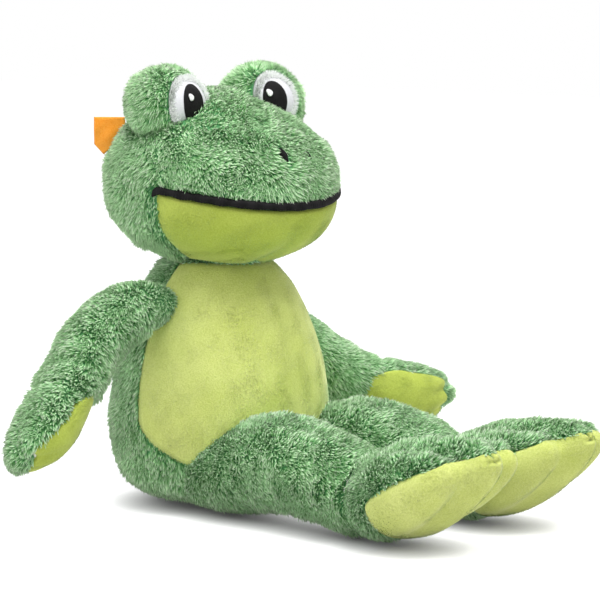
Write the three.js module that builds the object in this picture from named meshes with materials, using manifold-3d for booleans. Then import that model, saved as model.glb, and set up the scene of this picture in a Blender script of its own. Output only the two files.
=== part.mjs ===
// Plush frog that sits with its legs stretched out, in millimetres.
// The front is -Y, up is +Z and the frog's right side is -X.
// The origin is on the floor, in the middle of the flat seat.
// Each stuffed form has a backing surface: green plush and lime velour lie outside it,
// and the stuffing fills it from inside.
import * as THREE from 'three';
import { mergeVertices } from 'three/addons/utils/BufferGeometryUtils.js';
import Module from 'manifold-3d';

const wasm = await Module();
wasm.setup();

// Fabrics, threads and clearances
const plushThickness = 5;
const velourThickness = 2;
const feltThickness = 1.6;
const threadHeight = 0.9;
const seamGap = 0.3;
const neckGap = 0.6;
const roomGap = 1.3;
const pressedDepth = 0.5;
const overrun = 2;

// Torso
const torsoHeight = 113;
const torsoHalfWidth = 48;
const torsoFront = 49;
const torsoBack = 42.5;
const torsoLevelShares = [0, 0.25, 0.5, 0.75, 1];
const torsoWidthShares = [0.9, 1, 0.97, 0.8, 0.56];
const torsoFrontShares = [0.85, 1, 0.97, 0.78, 0.55];
const torsoBackShares = [0.84, 1, 0.93, 0.75, 0.55];
const torsoCapPowers = { start: 12, end: 5 };
const bellySeamAngle = 98;
const bellyBottomShare = 0.12;
const bellyTopShare = 0.94;
const bellyPointShare = 0.5;
const bellyRoundShare = 0.3;
const pouchBack = 20;
const pouchHalfWidth = 30;
const pouchHalfDepth = 13;
const pouchHalfHeight = 9;

// Head, turned a little towards the frog's right
const headTurn = 12;
const headBase = 109;
const headHeight = 77;
const headHalfWidth = 47;
const headFront = 59.5;
const headBack = 47;
const headLevelShares = [0, 0.25, 0.5, 0.75, 1];
const headWidthShares = [0.78, 0.98, 1, 0.88, 0.6];
const headFrontShares = [0.7, 0.93, 1, 0.82, 0.4];
const headBackShares = [0.6, 0.92, 1, 0.95, 0.7];
const headCapPowers = { start: 3, end: 3 };
const smileDrop = 8;
const neckHingeHeight = 92;
const nodForward = 12;
const nodBack = 10;

// Mouth and chin
const mouthHeight = 37;
const mouthCornerAngle = 74;
const mouthCordRadius = 1.1;
const chinBottomShare = 0.06;

// Eyes
const eyeSpacing = 51.5;
const eyeBack = 1;
const eyeHeight = 180;
const eyeBumpHalfWidth = 16.5;
const eyeBumpHalfDepth = 16;
const eyeBumpHalfHeight = 15;
const whiteInward = 2.4;
const whiteUp = 2;
const whiteHalfWidth = 11.2;
const whiteHalfHeight = 11.5;
const whiteThickness = 1.2;
const pupilInward = 3.4;
const pupilHalfWidth = 5.3;
const pupilHalfHeight = 8.4;
const highlightRadius = 1.8;
const highlightAside = 2.3;
const highlightUp = 2;

// Nostrils
const nostrilSpacing = 13.7;
const nostrilHeight = 159.5;
const nostrilHalfWidth = 1.4;
const nostrilHalfHeight = 4.4;
const nostrilSlant = 28;

// Felt tab sewn into the seam behind the right side of the head
const tabSeamAngle = -128;
const tabLength = 14.5;
const tabHeight = 17;
const tabTop = 174;
const tabRootShare = 0.5;
const tabPointShare = 0.7;
const tabSlopeShare = 0.72;
const tabSwing = 30;

// Arms: the right one bows outwards and the left one falls close to the belly
const shoulderOut = 46;
const shoulderForward = 1;
const rightShoulderHeight = 92;
const leftShoulderHeight = 75;
const shoulderBallRadius = 16.5;
const armLength = 86;
const armDrop = 49;
const armForward = 17;
const armHalfWidth = 11.5;
const rightArmOutShares = [-0.165, 0.12, 0.4, 0.65, 0.88, 1.12];
const rightArmDropShares = [-0.02, 0, 0.2, 0.57, 0.91, 1.1];
const rightArmForwardShares = [0, 0, 0.06, 0.3, 0.6, 0.88];
const rightPalmFacingShares = [-0.62, -0.57, -0.54];
const leftArmOutShares = [-0.175, 0.07, 0.21, 0.42, 0.7, 0.98];
const leftArmDropShares = [-0.18, 0.1, 0.35, 0.6, 0.78, 0.79];
const leftArmForwardShares = [-0.06, 0, 0.24, 0.76, 1.35, 1.82];
const leftPalmFacingShares = [-0.45, -0.85, -0.28];
const armWidthShares = [0.93, 0.93, 0.97, 1.02, 1.2, 1];
const armThicknessShares = [0.93, 0.93, 0.96, 0.94, 0.96, 0.66];
const armCapPowers = { start: 6, end: 6 };
const palmStartShare = 0.6;
const palmEndShare = 0.975;
const palmHalfAngle = 78;
const palmPointShare = 0.4;
const palmRoundShare = 0.3;
const armLowered = 5;

// Legs and feet
const hipSpacing = 50;
const hipBack = -15;
const hipHeight = 20.5;
const hipBallRadius = 21.5;
const legLength = 163;
const legSplay = 9;
const legHalfWidth = 16.5;
const toeRise = 26;
const legForwardShares = [-0.1, 0.1, 0.3, 0.48, 0.6, 0.79, 1.02];
const legRiseShares = [0, -0.02, 0.26, 0.13, -0.08, 0.23, 0.83];
const legWidthShares = [0.98, 1, 1.08, 1.05, 0.98, 1.5, 1.5];
const legThicknessShares = [1, 0.97, 1.1, 1, 0.88, 1.1, 0.72];
const legCapPowers = { start: 7, end: 7 };
const toeNotch = 6;
const rightToeSlant = 9;
const leftToeSlant = -6;
const toeCreaseShare = 0.2;
const toeStartShare = 0.72;
const soleHeelForward = 119;
const soleCurveForward = 109;
const soleCurveHeight = 10;
const soleSeamForward = 114;
const soleSeamHeight = 22;
const soleArchForward = 137;
const soleArchHeight = 40;
const soleTipHeight = 50;
const legRaised = 8;
const legLowered = 60;

const radians = THREE.MathUtils.degToRad;
const origin = new THREE.Vector3(0, 0, 0);
const sideways = new THREE.Vector3(1, 0, 0);
const frontwards = new THREE.Vector3(0, 1, 0);
const upwards = new THREE.Vector3(0, 0, 1);
const palette = {
  plush: new THREE.MeshStandardMaterial({ color: 0x5fae6c, roughness: 0.95, metalness: 0 }),
  velour: new THREE.MeshStandardMaterial({ color: 0xb7cf5a, roughness: 0.9, metalness: 0 }),
  fibre: new THREE.MeshStandardMaterial({ color: 0xf0efe9, roughness: 1, metalness: 0 }),
  calico: new THREE.MeshStandardMaterial({ color: 0xd9cfb8, roughness: 0.95, metalness: 0 }),
  white: new THREE.MeshStandardMaterial({ color: 0xeeeeee, roughness: 0.85, metalness: 0 }),
  black: new THREE.MeshStandardMaterial({ color: 0x1c1a1e, roughness: 0.6, metalness: 0 }),
  felt: new THREE.MeshStandardMaterial({ color: 0xf6a12e, roughness: 0.95, metalness: 0 }),
};

function sized(shares, size) {
  return shares.map((share) => share * size);
}

// Smooth curve through evenly spaced values of three sizes at a time
function evenSpline(first, second, third) {
  const points = first.map((value, i) => new THREE.Vector3(value, second[i], third[i]));
  return new THREE.CatmullRomCurve3(points, false, 'catmullrom');
}

// Fullness of a closed form: 0 at its two ends and nearly 1 between them
function capFullness(along, { start, end }) {
  return Math.sqrt(Math.max(0, 1 - Math.abs(2 * along - 1) ** (along < 0.5 ? start : end)));
}

// Upright form of level rings, from its bottom to its top. Each ring is half an ellipse to the front
// and half an ellipse to the back. The angle is 0 at the front and grows towards +X.
function ringForm({ base, height, levels, widths, fronts, backs, capPowers, drop, dropReach }) {
  const sizes = evenSpline(widths, fronts, backs);
  const heights = evenSpline(sized(levels, height), levels, levels);
  return (along, angle) => {
    const size = sizes.getPoint(along);
    const fullness = capFullness(along, capPowers);
    const reach = Math.cos(angle) > 0 ? size.y : size.z;
    const x = fullness * size.x * Math.sin(angle);
    const y = -fullness * reach * Math.cos(angle);
    const nearness = Math.max(0, -y) / dropReach;
    return new THREE.Vector3(x, y, base + heights.getPoint(along).x - drop * nearness ** 1.5);
  };
}

// Limb along a path on the +X side, mirrored for the -X side. The angle is a quarter turn where the
// limb faces the given way, and 0 at the side of its width.
function limbForm({ path, widths, thicknesses, facing, capPowers, shaped, hand }) {
  const girths = evenSpline(widths, thicknesses, thicknesses);
  return (along, angle) => {
    const tangent = path.getTangent(along);
    const face = facing.clone().addScaledVector(tangent, -facing.dot(tangent)).normalize();
    const across = new THREE.Vector3().crossVectors(face, tangent);
    const girth = girths.getPoint(along);
    const fullness = capFullness(along, capPowers);
    const { notch, thinning } = shaped(along, fullness * Math.cos(angle));
    const point = path.getPoint(along)
      .addScaledVector(across, fullness * girth.x * Math.cos(angle))
      .addScaledVector(face, fullness * girth.y * Math.sin(angle) * thinning)
      .addScaledVector(tangent, -notch);
    point.x *= hand;
    return point;
  };
}

function plainLimb() {
  return { notch: 0, thinning: 1 };
}

// Three toes: two valleys between them grow from the ball of the foot to its tip, and the slant
// sets the outer toe back
function toeShape(slant) {
  return (along, lateral) => {
    const growth = THREE.MathUtils.smoothstep(along, toeStartShare, 1);
    const valley = growth * (1 - Math.cos(3 * Math.PI * Math.min(Math.abs(lateral), 2 / 3))) / 2;
    return { notch: toeNotch * valley + slant * growth * lateral, thinning: 1 - toeCreaseShare * valley };
  };
}

// Ellipsoid with its poles at the bottom and the top
function ellipsoidForm({ centre, halfWidth, halfDepth, halfHeight }) {
  return (along, angle) => {
    const polar = Math.acos(THREE.MathUtils.clamp(1 - 2 * along, -1, 1));
    return new THREE.Vector3(
      centre.x + halfWidth * Math.sin(polar) * Math.sin(angle),
      centre.y - halfDepth * Math.sin(polar) * Math.cos(angle),
      centre.z - halfHeight * Math.cos(polar),
    );
  };
}

// The form moved out by a distance, square to its own surface
function offsetForm(form, distance) {
  const step = 1e-4;
  const normalAt = (along, angle) => {
    const forward = form(along + step / 2, angle).sub(form(along - step / 2, angle));
    const around = form(along, angle + step).sub(form(along, angle - step));
    return new THREE.Vector3().crossVectors(around, forward).normalize();
  };
  const outward = form(0.5, 0).sub(form(0.5, Math.PI));
  const reach = distance * Math.sign(normalAt(0.5, 0).dot(outward));
  const quarters = [0, 1, 2, 3].map((quarter) => (quarter * Math.PI) / 2);
  const endNormal = (along) => quarters
    .reduce((sum, angle) => sum.add(normalAt(along, angle)), new THREE.Vector3())
    .normalize();
  const firstEnd = endNormal(step);
  const lastEnd = endNormal(1 - step);
  return (along, angle) => {
    const normal = along < step ? firstEnd : along > 1 - step ? lastEnd : normalAt(along, angle);
    return form(along, angle).addScaledVector(normal, reach);
  };
}

// Rings lie closer together towards the ends of a form
function ringShare(evenShare) {
  return (1 - Math.cos(Math.PI * evenShare)) / 2;
}

function evenShare(ring) {
  return Math.acos(1 - 2 * ring) / Math.PI;
}

function signedVolume(corners, triangles) {
  const [a, b, c] = [new THREE.Vector3(), new THREE.Vector3(), new THREE.Vector3()];
  let volume = 0;
  for (let i = 0; i < triangles.length; i += 3) {
    a.fromArray(corners, 3 * triangles[i]);
    b.fromArray(corners, 3 * triangles[i + 1]);
    c.fromArray(corners, 3 * triangles[i + 2]);
    volume += a.dot(b.cross(c)) / 6;
  }
  return volume;
}

// Solid of a closed geometry, turned right side out
function solidOf(geometry) {
  const bare = geometry.clone();
  bare.deleteAttribute('normal');
  bare.deleteAttribute('uv');
  const merged = mergeVertices(bare);
  const vertProperties = Float32Array.from(merged.attributes.position.array);
  const triVerts = Uint32Array.from(merged.index.array);
  if (signedVolume(vertProperties, triVerts) < 0) {
    triVerts.reverse();
  }
  return new wasm.Manifold(new wasm.Mesh({ numProp: 3, vertProperties, triVerts }));
}

function geometryOf(solid) {
  const { vertProperties, triVerts } = solid.getMesh();
  const geometry = new THREE.BufferGeometry();
  geometry.setAttribute('position', new THREE.BufferAttribute(Float32Array.from(vertProperties), 3));
  geometry.setIndex(Array.from(triVerts));
  return geometry;
}

// Closed solid of a whole form
function formSolid(form, { around, rings }) {
  const geometry = new THREE.SphereGeometry(1, around, rings);
  const { position, uv } = geometry.attributes;
  for (let i = 0; i < position.count; i += 1) {
    const point = form(ringShare(1 - uv.getY(i)), 2 * Math.PI * uv.getX(i));
    position.setXYZ(i, point.x, point.y, point.z);
  }
  return solidOf(geometry);
}

// Block through a patch of a form, from inside its backing to outside its pile
function patchSolid(form, { start, end, middle, halfAngle, rows, columns }) {
  const inside = offsetForm(form, -overrun);
  const outside = offsetForm(form, plushThickness + overrun);
  const geometry = new THREE.BoxGeometry(1, 1, 1, columns, rows, 1);
  const { position } = geometry.attributes;
  for (let i = 0; i < position.count; i += 1) {
    const share = position.getY(i) + 0.5;
    const along = ringShare(THREE.MathUtils.lerp(evenShare(start), evenShare(end), share));
    const angle = middle + 2 * position.getX(i) * halfAngle(share);
    const point = (position.getZ(i) > 0 ? outside : inside)(along, angle);
    position.setXYZ(i, point.x, point.y, point.z);
  }
  return solidOf(geometry);
}

// The patch with a seam gap all round and a trim at its end
function opened(patch, { length, halfWidth, trim }) {
  return {
    ...patch,
    start: patch.start - seamGap / length,
    end: patch.end + (seamGap + trim) / length,
    halfAngle: (share) => patch.halfAngle(share) + seamGap / halfWidth,
  };
}

// Half angle of a patch that starts rounded and widens to its full angle over a share of its length
function roundedStart(fullAngle, pointShare, roundShare) {
  return (share) => {
    const opening = Math.sin((Math.PI / 2) * Math.min(1, share / roundShare));
    return radians(fullAngle) * (pointShare + (1 - pointShare) * opening);
  };
}

function ballSolid(centre, radius) {
  return solidOf(new THREE.SphereGeometry(radius, 18, 11).translate(centre.x, centre.y, centre.z));
}

// The solid turned by an angle about an axis through a point
function turned(solid, centre, axis, angle) {
  const turn = new THREE.Matrix4().makeTranslation(centre.x, centre.y, centre.z)
    .multiply(new THREE.Matrix4().makeRotationAxis(axis, radians(angle)))
    .multiply(new THREE.Matrix4().makeTranslation(-centre.x, -centre.y, -centre.z));
  return solidOf(geometryOf(solid).applyMatrix4(turn));
}

function without(solid, cutters) {
  return cutters.reduce((rest, cutter) => rest.subtract(cutter), solid);
}

function floorSolid() {
  const reach = 2 * (legLength + armLength + shoulderOut);
  return solidOf(new THREE.BoxGeometry(reach, reach, legLength).translate(0, 0, -legLength / 2));
}

// Rod with an elliptic section, lying front to back
function frontRod({ x, z, halfWidth, halfHeight, slant, back, front }) {
  const outline = new THREE.Shape().absellipse(0, 0, halfWidth, halfHeight, 0, 2 * Math.PI, false, slant);
  const options = { depth: back - front, bevelEnabled: false, curveSegments: 8 };
  const geometry = new THREE.ExtrudeGeometry(outline, options);
  return solidOf(geometry.rotateX(Math.PI / 2).translate(x, back, z));
}

function meshOf(name, solid, material) {
  const geometry = geometryOf(solid);
  geometry.computeVertexNormals();
  const mesh = new THREE.Mesh(geometry, material);
  mesh.name = name;
  return mesh;
}

// Plush shell, velour panel and filling of one stuffed form. The panel lies in an opening of the plush.
function stuffedForm({ form, grid, panel, opening, cutters }) {
  const backing = formSolid(form, grid);
  const layer = (thickness) => formSolid(offsetForm(form, thickness), grid).subtract(backing);
  return {
    shell: without(layer(plushThickness).subtract(opening), cutters),
    cloth: without(layer(velourThickness).intersect(panel), cutters),
    filling: without(formSolid(offsetForm(form, -seamGap), grid), cutters),
  };
}

const hands = { right: -1, left: 1 };
const swingShares = [0, 1 / 3, 2 / 3, 1];
const torsoGrid = { around: 22, rings: 12 };
const torsoRoomGrid = { around: 18, rings: 10 };
const headGrid = { around: 26, rings: 12 };
const armGrid = { around: 14, rings: 10 };
const legGrid = { around: 20, rings: 13 };
const roomGrid = { around: 14, rings: 11 };
const eyeGrid = { around: 14, rings: 8 };

// Backing surfaces of the torso and the head
const torsoForm = ringForm({
  base: plushThickness - pressedDepth,
  height: torsoHeight,
  levels: torsoLevelShares,
  widths: sized(torsoWidthShares, torsoHalfWidth),
  fronts: sized(torsoFrontShares, torsoFront),
  backs: sized(torsoBackShares, torsoBack),
  capPowers: torsoCapPowers,
  drop: 0,
  dropReach: torsoFront,
});
const headForm = ringForm({
  base: headBase,
  height: headHeight,
  levels: headLevelShares,
  widths: sized(headWidthShares, headHalfWidth),
  fronts: sized(headFrontShares, headFront),
  backs: sized(headBackShares, headBack),
  capPowers: headCapPowers,
  drop: smileDrop,
  dropReach: headFront,
});

function hipHinge(hand) {
  return new THREE.Vector3((hand * hipSpacing) / 2, hipBack, hipHeight);
}

function shoulderHinge(hand) {
  const height = hand > 0 ? leftShoulderHeight : rightShoulderHeight;
  return new THREE.Vector3(hand * shoulderOut, -shoulderForward, height);
}

function legForm(hand) {
  const hip = hipHinge(hands.left);
  const points = legForwardShares.map((share, i) => new THREE.Vector3(
    hip.x + legSplay * share,
    hip.y - legLength * share,
    hip.z + toeRise * legRiseShares[i],
  ));
  return limbForm({
    path: new THREE.CatmullRomCurve3(points, false, 'catmullrom'),
    widths: sized(legWidthShares, legHalfWidth),
    thicknesses: sized(legThicknessShares, legHalfWidth),
    facing: upwards,
    capPowers: legCapPowers,
    shaped: toeShape(hand > 0 ? leftToeSlant : rightToeSlant),
    hand,
  });
}

// Everything of a foot below its seam, which climbs from the heel to the toes
function soleBlock(hand, growth) {
  const hip = hipHinge(hand);
  const heel = hip.y - soleHeelForward + growth;
  const seam = hip.y - soleSeamForward + growth;
  const tip = hip.y - legLength - hipHeight;
  const outline = new THREE.Shape()
    .moveTo(heel, -overrun)
    .quadraticCurveTo(hip.y - soleCurveForward + growth, soleCurveHeight, seam, soleSeamHeight + growth)
    .quadraticCurveTo(hip.y - soleArchForward, soleArchHeight + growth, tip, soleTipHeight + growth)
    .lineTo(tip, -overrun);
  const options = { depth: legLength, bevelEnabled: false, curveSegments: 4 };
  const geometry = new THREE.ExtrudeGeometry(outline, options);
  const upright = new THREE.Matrix4().makeBasis(frontwards, upwards, sideways);
  return solidOf(geometry.applyMatrix4(upright).translate(hip.x - legLength / 2, 0, 0));
}

function armForm(side) {
  const hand = hands[side];
  const shoulder = shoulderHinge(hand);
  const { out, drop, forward, facing } = {
    right: {
      out: rightArmOutShares,
      drop: rightArmDropShares,
      forward: rightArmForwardShares,
      facing: rightPalmFacingShares,
    },
    left: {
      out: leftArmOutShares,
      drop: leftArmDropShares,
      forward: leftArmForwardShares,
      facing: leftPalmFacingShares,
    },
  }[side];
  const points = out.map((share, i) => new THREE.Vector3(
    shoulderOut + armLength * share,
    shoulder.y - armForward * forward[i],
    shoulder.z - armDrop * drop[i],
  ));
  return limbForm({
    path: new THREE.CatmullRomCurve3(points, false, 'catmullrom'),
    widths: sized(armWidthShares, armHalfWidth),
    thicknesses: sized(armThicknessShares, armHalfWidth),
    facing: new THREE.Vector3(...facing),
    capPowers: armCapPowers,
    shaped: plainLimb,
    hand,
  });
}

function buildLeg(side) {
  const hand = hands[side];
  return stuffedForm({
    form: legForm(hand),
    grid: legGrid,
    panel: soleBlock(hand, 0),
    opening: soleBlock(hand, seamGap),
    cutters: [floorSolid()],
  });
}

// What a leg's root needs clear in the torso as the leg swings
function legRoom(hand) {
  const leg = formSolid(offsetForm(legForm(hand), plushThickness + roomGap), roomGrid);
  const hip = hipHinge(hand);
  const angles = [...sized(swingShares, -legLowered), legRaised];
  const swung = angles.map((angle) => turned(leg, hip, sideways, -angle));
  return [...swung, ballSolid(hip, hipBallRadius + seamGap)];
}

function shoulderRoom(hand) {
  return ballSolid(shoulderHinge(hand), shoulderBallRadius + seamGap);
}

function buildArm(side) {
  const form = armForm(side);
  const hand = hands[side];
  const shoulder = shoulderHinge(hand);
  const palm = {
    start: palmStartShare,
    end: palmEndShare,
    middle: Math.PI / 2,
    halfAngle: roundedStart(palmHalfAngle, palmPointShare, palmRoundShare),
    rows: 5,
    columns: 4,
  };
  const torsoRoom = formSolid(offsetForm(torsoForm, plushThickness + roomGap), torsoRoomGrid);
  const torsoBeside = torsoRoom.subtract(ballSolid(shoulder, shoulderBallRadius));
  const cutters = [0, armLowered].map((angle) => turned(torsoBeside, shoulder, frontwards, -hand * angle));
  return stuffedForm({
    form,
    grid: armGrid,
    panel: patchSolid(form, palm),
    opening: patchSolid(form, opened(palm, { length: armLength, halfWidth: armHalfWidth, trim: 0 })),
    cutters,
  });
}

const belly = {
  start: bellyBottomShare,
  end: bellyTopShare,
  middle: 0,
  halfAngle: roundedStart(bellySeamAngle, bellyPointShare, bellyRoundShare),
  rows: 10,
  columns: 14,
};
const bellyOpening = opened(belly, { length: torsoHeight, halfWidth: torsoHalfWidth, trim: 0 });
const limbRoom = Object.values(hands).flatMap((hand) => [...legRoom(hand), shoulderRoom(hand)]);
const torso = stuffedForm({
  form: torsoForm,
  grid: torsoGrid,
  panel: patchSolid(torsoForm, belly),
  opening: patchSolid(torsoForm, bellyOpening),
  cutters: [floorSolid(), ...limbRoom],
});

function pouchSolid(growth) {
  return formSolid(ellipsoidForm({
    centre: new THREE.Vector3(0, pouchBack, plushThickness + pouchHalfHeight),
    halfWidth: pouchHalfWidth + growth,
    halfDepth: pouchHalfDepth + growth,
    halfHeight: pouchHalfHeight + growth,
  }), eyeGrid);
}

// The head is made facing the front and turned afterwards, so the torso is seen from it turned back
const neckHinge = new THREE.Vector3(0, 0, neckHingeHeight);
const torsoTop = formSolid(offsetForm(torsoForm, plushThickness + neckGap), torsoGrid);
const torsoBelow = turned(torsoTop, origin, upwards, headTurn);
const neckRoom = [-nodBack, 0, nodForward].map((angle) => turned(torsoBelow, neckHinge, sideways, -angle));
const mouthShare = mouthHeight / headHeight;
const mouthRoom = mouthCordRadius + seamGap;
const chin = {
  start: chinBottomShare,
  end: mouthShare - mouthRoom / headHeight,
  middle: 0,
  halfAngle: () => radians(mouthCornerAngle),
  rows: 5,
  columns: 14,
};
const mouthOpening = opened(chin, { length: headHeight, halfWidth: headHalfWidth, trim: 2 * mouthRoom });
const head = stuffedForm({
  form: headForm,
  grid: headGrid,
  panel: patchSolid(headForm, chin),
  opening: patchSolid(headForm, mouthOpening),
  cutters: neckRoom,
});

class MouthCurve extends THREE.Curve {
  getPoint(share) {
    const angle = radians(mouthCornerAngle) * (2 * share - 1);
    return offsetForm(headForm, mouthRoom)(mouthShare, angle);
  }
}

function mouthCord() {
  const section = new THREE.Shape().absarc(0, 0, mouthCordRadius, 0, 2 * Math.PI);
  return solidOf(new THREE.ExtrudeGeometry(section, {
    steps: 22,
    curveSegments: 3,
    bevelEnabled: false,
    extrudePath: new MouthCurve(),
  }));
}

// Eye on one side: a stuffed bump with a white patch, a pupil and a highlight on its front
function buildEye(hand) {
  const form = ellipsoidForm({
    centre: new THREE.Vector3((hand * eyeSpacing) / 2, eyeBack, eyeHeight),
    halfWidth: eyeBumpHalfWidth,
    halfDepth: eyeBumpHalfDepth,
    halfHeight: eyeBumpHalfHeight,
  });
  const level = (distance) => formSolid(offsetForm(form, distance), eyeGrid);
  const headRoom = formSolid(offsetForm(headForm, plushThickness + seamGap), headGrid);
  const inward = (distance) => hand * (eyeSpacing / 2 - distance);
  const middleHeight = eyeHeight + whiteUp;
  const rod = (x, z, halfWidth, halfHeight) => frontRod({
    x,
    z,
    halfWidth,
    halfHeight,
    slant: 0,
    back: eyeBack,
    front: eyeBack - eyeBumpHalfDepth - plushThickness - overrun,
  });
  const whiteX = inward(whiteInward);
  const whiteRod = (growth) => rod(whiteX, middleHeight, whiteHalfWidth + growth, whiteHalfHeight + growth);
  const pupilX = inward(pupilInward);
  const pupilRod = rod(pupilX, middleHeight, pupilHalfWidth, pupilHalfHeight);
  const dotRod = rod(pupilX - highlightAside, middleHeight + highlightUp, highlightRadius, highlightRadius);
  const stitched = (base, outline) => level(base + threadHeight).subtract(level(base)).intersect(outline);
  const pupilBase = whiteThickness + seamGap;
  return {
    bump: level(plushThickness).subtract(level(0)).subtract(whiteRod(seamGap)).subtract(headRoom),
    filling: level(-seamGap).subtract(headRoom),
    white: level(whiteThickness).subtract(level(0)).intersect(whiteRod(0)).subtract(headRoom),
    pupil: stitched(pupilBase, pupilRod).subtract(headRoom),
    highlight: stitched(pupilBase + threadHeight + seamGap, dotRod),
  };
}

// Nostrils are stitched through the pile, down to the backing
function nostrilRod(hand, growth) {
  return frontRod({
    x: (hand * nostrilSpacing) / 2,
    z: nostrilHeight,
    halfWidth: nostrilHalfWidth + growth,
    halfHeight: nostrilHalfHeight + growth,
    slant: -hand * radians(nostrilSlant),
    back: 0,
    front: -headFront - plushThickness - overrun,
  });
}

function nostril(hand) {
  const raised = formSolid(offsetForm(headForm, threadHeight), headGrid);
  return raised.subtract(formSolid(headForm, headGrid)).intersect(nostrilRod(hand, 0));
}

// Felt tab standing out of the seam at the back of the head, pointed at its lower end
const tabRoot = headForm((tabTop - tabHeight / 2 - headBase) / headHeight, radians(tabSeamAngle));
const tabHinge = new THREE.Vector3(tabRoot.x, tabRoot.y, tabTop);

function feltTab(growth) {
  const start = seamGap - growth;
  const outline = new THREE.Shape()
    .moveTo(start, -tabHeight * tabRootShare - growth)
    .lineTo(tabLength * tabPointShare, -tabHeight - growth)
    .lineTo(tabLength + growth, -tabHeight * tabSlopeShare)
    .lineTo(tabLength + growth, growth)
    .lineTo(start, growth);
  const thickness = feltThickness + 2 * growth;
  const geometry = new THREE.ExtrudeGeometry(outline, { depth: thickness, bevelEnabled: false });
  const outward = new THREE.Vector3(tabRoot.x, tabRoot.y, 0).normalize();
  const upright = new THREE.Matrix4().makeBasis(outward, upwards, outward.clone().cross(upwards));
  const centred = geometry.translate(0, 0, -thickness / 2).applyMatrix4(upright);
  return solidOf(centred.translate(tabHinge.x, tabHinge.y, tabHinge.z));
}

const tabAngles = [...sized(swingShares, tabSwing), ...sized(swingShares, -tabSwing)];
const tabRoom = tabAngles.map((angle) => turned(feltTab(seamGap), tabHinge, upwards, angle));
const headOpenings = [...Object.values(hands).map((hand) => nostrilRod(hand, seamGap)), ...tabRoom];

function headMesh(name, solid, material) {
  return meshOf(name, turned(solid, origin, upwards, -headTurn), material);
}

const frog = new THREE.Group();
const torsoGroup = new THREE.Group();
torsoGroup.add(
  meshOf('back_panel', torso.shell, palette.plush),
  meshOf('belly_panel', torso.cloth, palette.velour),
  meshOf('body_stuffing', torso.filling.subtract(pouchSolid(seamGap)), palette.fibre),
  meshOf('pellet_pouch', pouchSolid(0).intersect(torso.filling), palette.calico),
);
const headGroup = new THREE.Group();
headGroup.add(
  headMesh('head_fur_shell', without(head.shell, headOpenings), palette.plush),
  headMesh('chin_panel', head.cloth, palette.velour),
  headMesh('head_stuffing', head.filling, palette.fibre),
  headMesh('mouth_line', mouthCord(), palette.black),
  headMesh('felt_tab', feltTab(0), palette.felt),
);
frog.add(torsoGroup, headGroup);
for (const [side, hand] of Object.entries(hands)) {
  const eye = buildEye(hand);
  headGroup.add(
    headMesh(`eye_bump_${side}`, eye.bump, palette.plush),
    headMesh(`eye_stuffing_${side}`, eye.filling, palette.fibre),
    headMesh(`eye_white_${side}`, eye.white, palette.white),
    headMesh(`pupil_${side}`, eye.pupil, palette.black),
    headMesh(`eye_highlight_${side}`, eye.highlight, palette.white),
    headMesh(`nostril_${side}`, nostril(hand), palette.black),
  );
  const arm = buildArm(side);
  const armGroup = new THREE.Group();
  armGroup.add(
    meshOf(`arm_sleeve_${side}`, arm.shell, palette.plush),
    meshOf(`palm_panel_${side}`, arm.cloth, palette.velour),
    meshOf(`arm_stuffing_${side}`, arm.filling, palette.fibre),
  );
  const leg = buildLeg(side);
  const legGroup = new THREE.Group();
  legGroup.add(
    meshOf(`leg_sleeve_${side}`, leg.shell, palette.plush),
    meshOf(`sole_panel_${side}`, leg.cloth, palette.velour),
    meshOf(`leg_stuffing_${side}`, leg.filling, palette.fibre),
  );
  frog.add(armGroup, legGroup);
}

export default frog;
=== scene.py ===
"""Plush frog that sits with its legs stretched out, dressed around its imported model.

Shapes are worked out in millimetres, with the front at -Y, up at +Z and the frog's right side at -X.
Each stuffed form has a backing surface, and its fabrics lie on that surface or stand out of it.
"""
import logging
import math
from dataclasses import dataclass, field
from enum import Enum
from typing import Any, Callable, Sequence

import bpy
import numpy as np
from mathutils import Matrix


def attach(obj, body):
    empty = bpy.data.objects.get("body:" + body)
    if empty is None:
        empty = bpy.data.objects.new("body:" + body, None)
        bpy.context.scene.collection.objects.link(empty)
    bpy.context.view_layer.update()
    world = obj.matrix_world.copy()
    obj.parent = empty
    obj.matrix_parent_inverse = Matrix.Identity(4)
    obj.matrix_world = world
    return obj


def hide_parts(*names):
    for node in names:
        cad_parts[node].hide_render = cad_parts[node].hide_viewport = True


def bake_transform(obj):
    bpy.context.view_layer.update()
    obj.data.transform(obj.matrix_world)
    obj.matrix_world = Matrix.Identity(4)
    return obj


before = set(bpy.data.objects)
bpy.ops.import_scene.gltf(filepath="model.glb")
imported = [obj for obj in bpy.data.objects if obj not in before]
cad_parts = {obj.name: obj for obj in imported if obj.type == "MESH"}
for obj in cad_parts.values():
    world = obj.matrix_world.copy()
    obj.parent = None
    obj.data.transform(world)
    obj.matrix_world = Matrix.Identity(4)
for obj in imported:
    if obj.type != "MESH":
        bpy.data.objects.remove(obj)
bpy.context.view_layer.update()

LOG = logging.getLogger("plush_frog")
Array = np.ndarray
Comb = Callable[[Array, Array], Array]

MM = 0.001
TINY = 1e-9
STEP = 1e-4
BAKE_MAP = "OFBake"
UP = np.array([0.0, 0.0, 1.0])
FRONT = np.array([0.0, -1.0, 0.0])
IMAGE_WIDTH = 600

# Fabrics: how far they stand out of the forms, in millimetres.
PLUSH_LIFT = 1.8
CLOTH_HEIGHT = 1.6
NAP_HEIGHT = 1.4
PANEL_SUNK = 0.4

# How deep a place lies inside another form before its pile is left out, in millimetres. Limbs that swing
# out of the body keep their pile deeper than sewn seams do.
NECK_DEPTH = 1.0
SEAM_DEPTH = 1.5
EYE_DEPTH = 2.0
LIMB_DEPTH = 9.0
HIP_DEPTH = 11.0

# Pile on the floor: its weight where it is pressed, and the heights between which it recovers.
PRESSED_PILE = 0.6
FLOOR_BAND = (5.5, 9.0)

HEAD_TURN = -12.0


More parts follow.
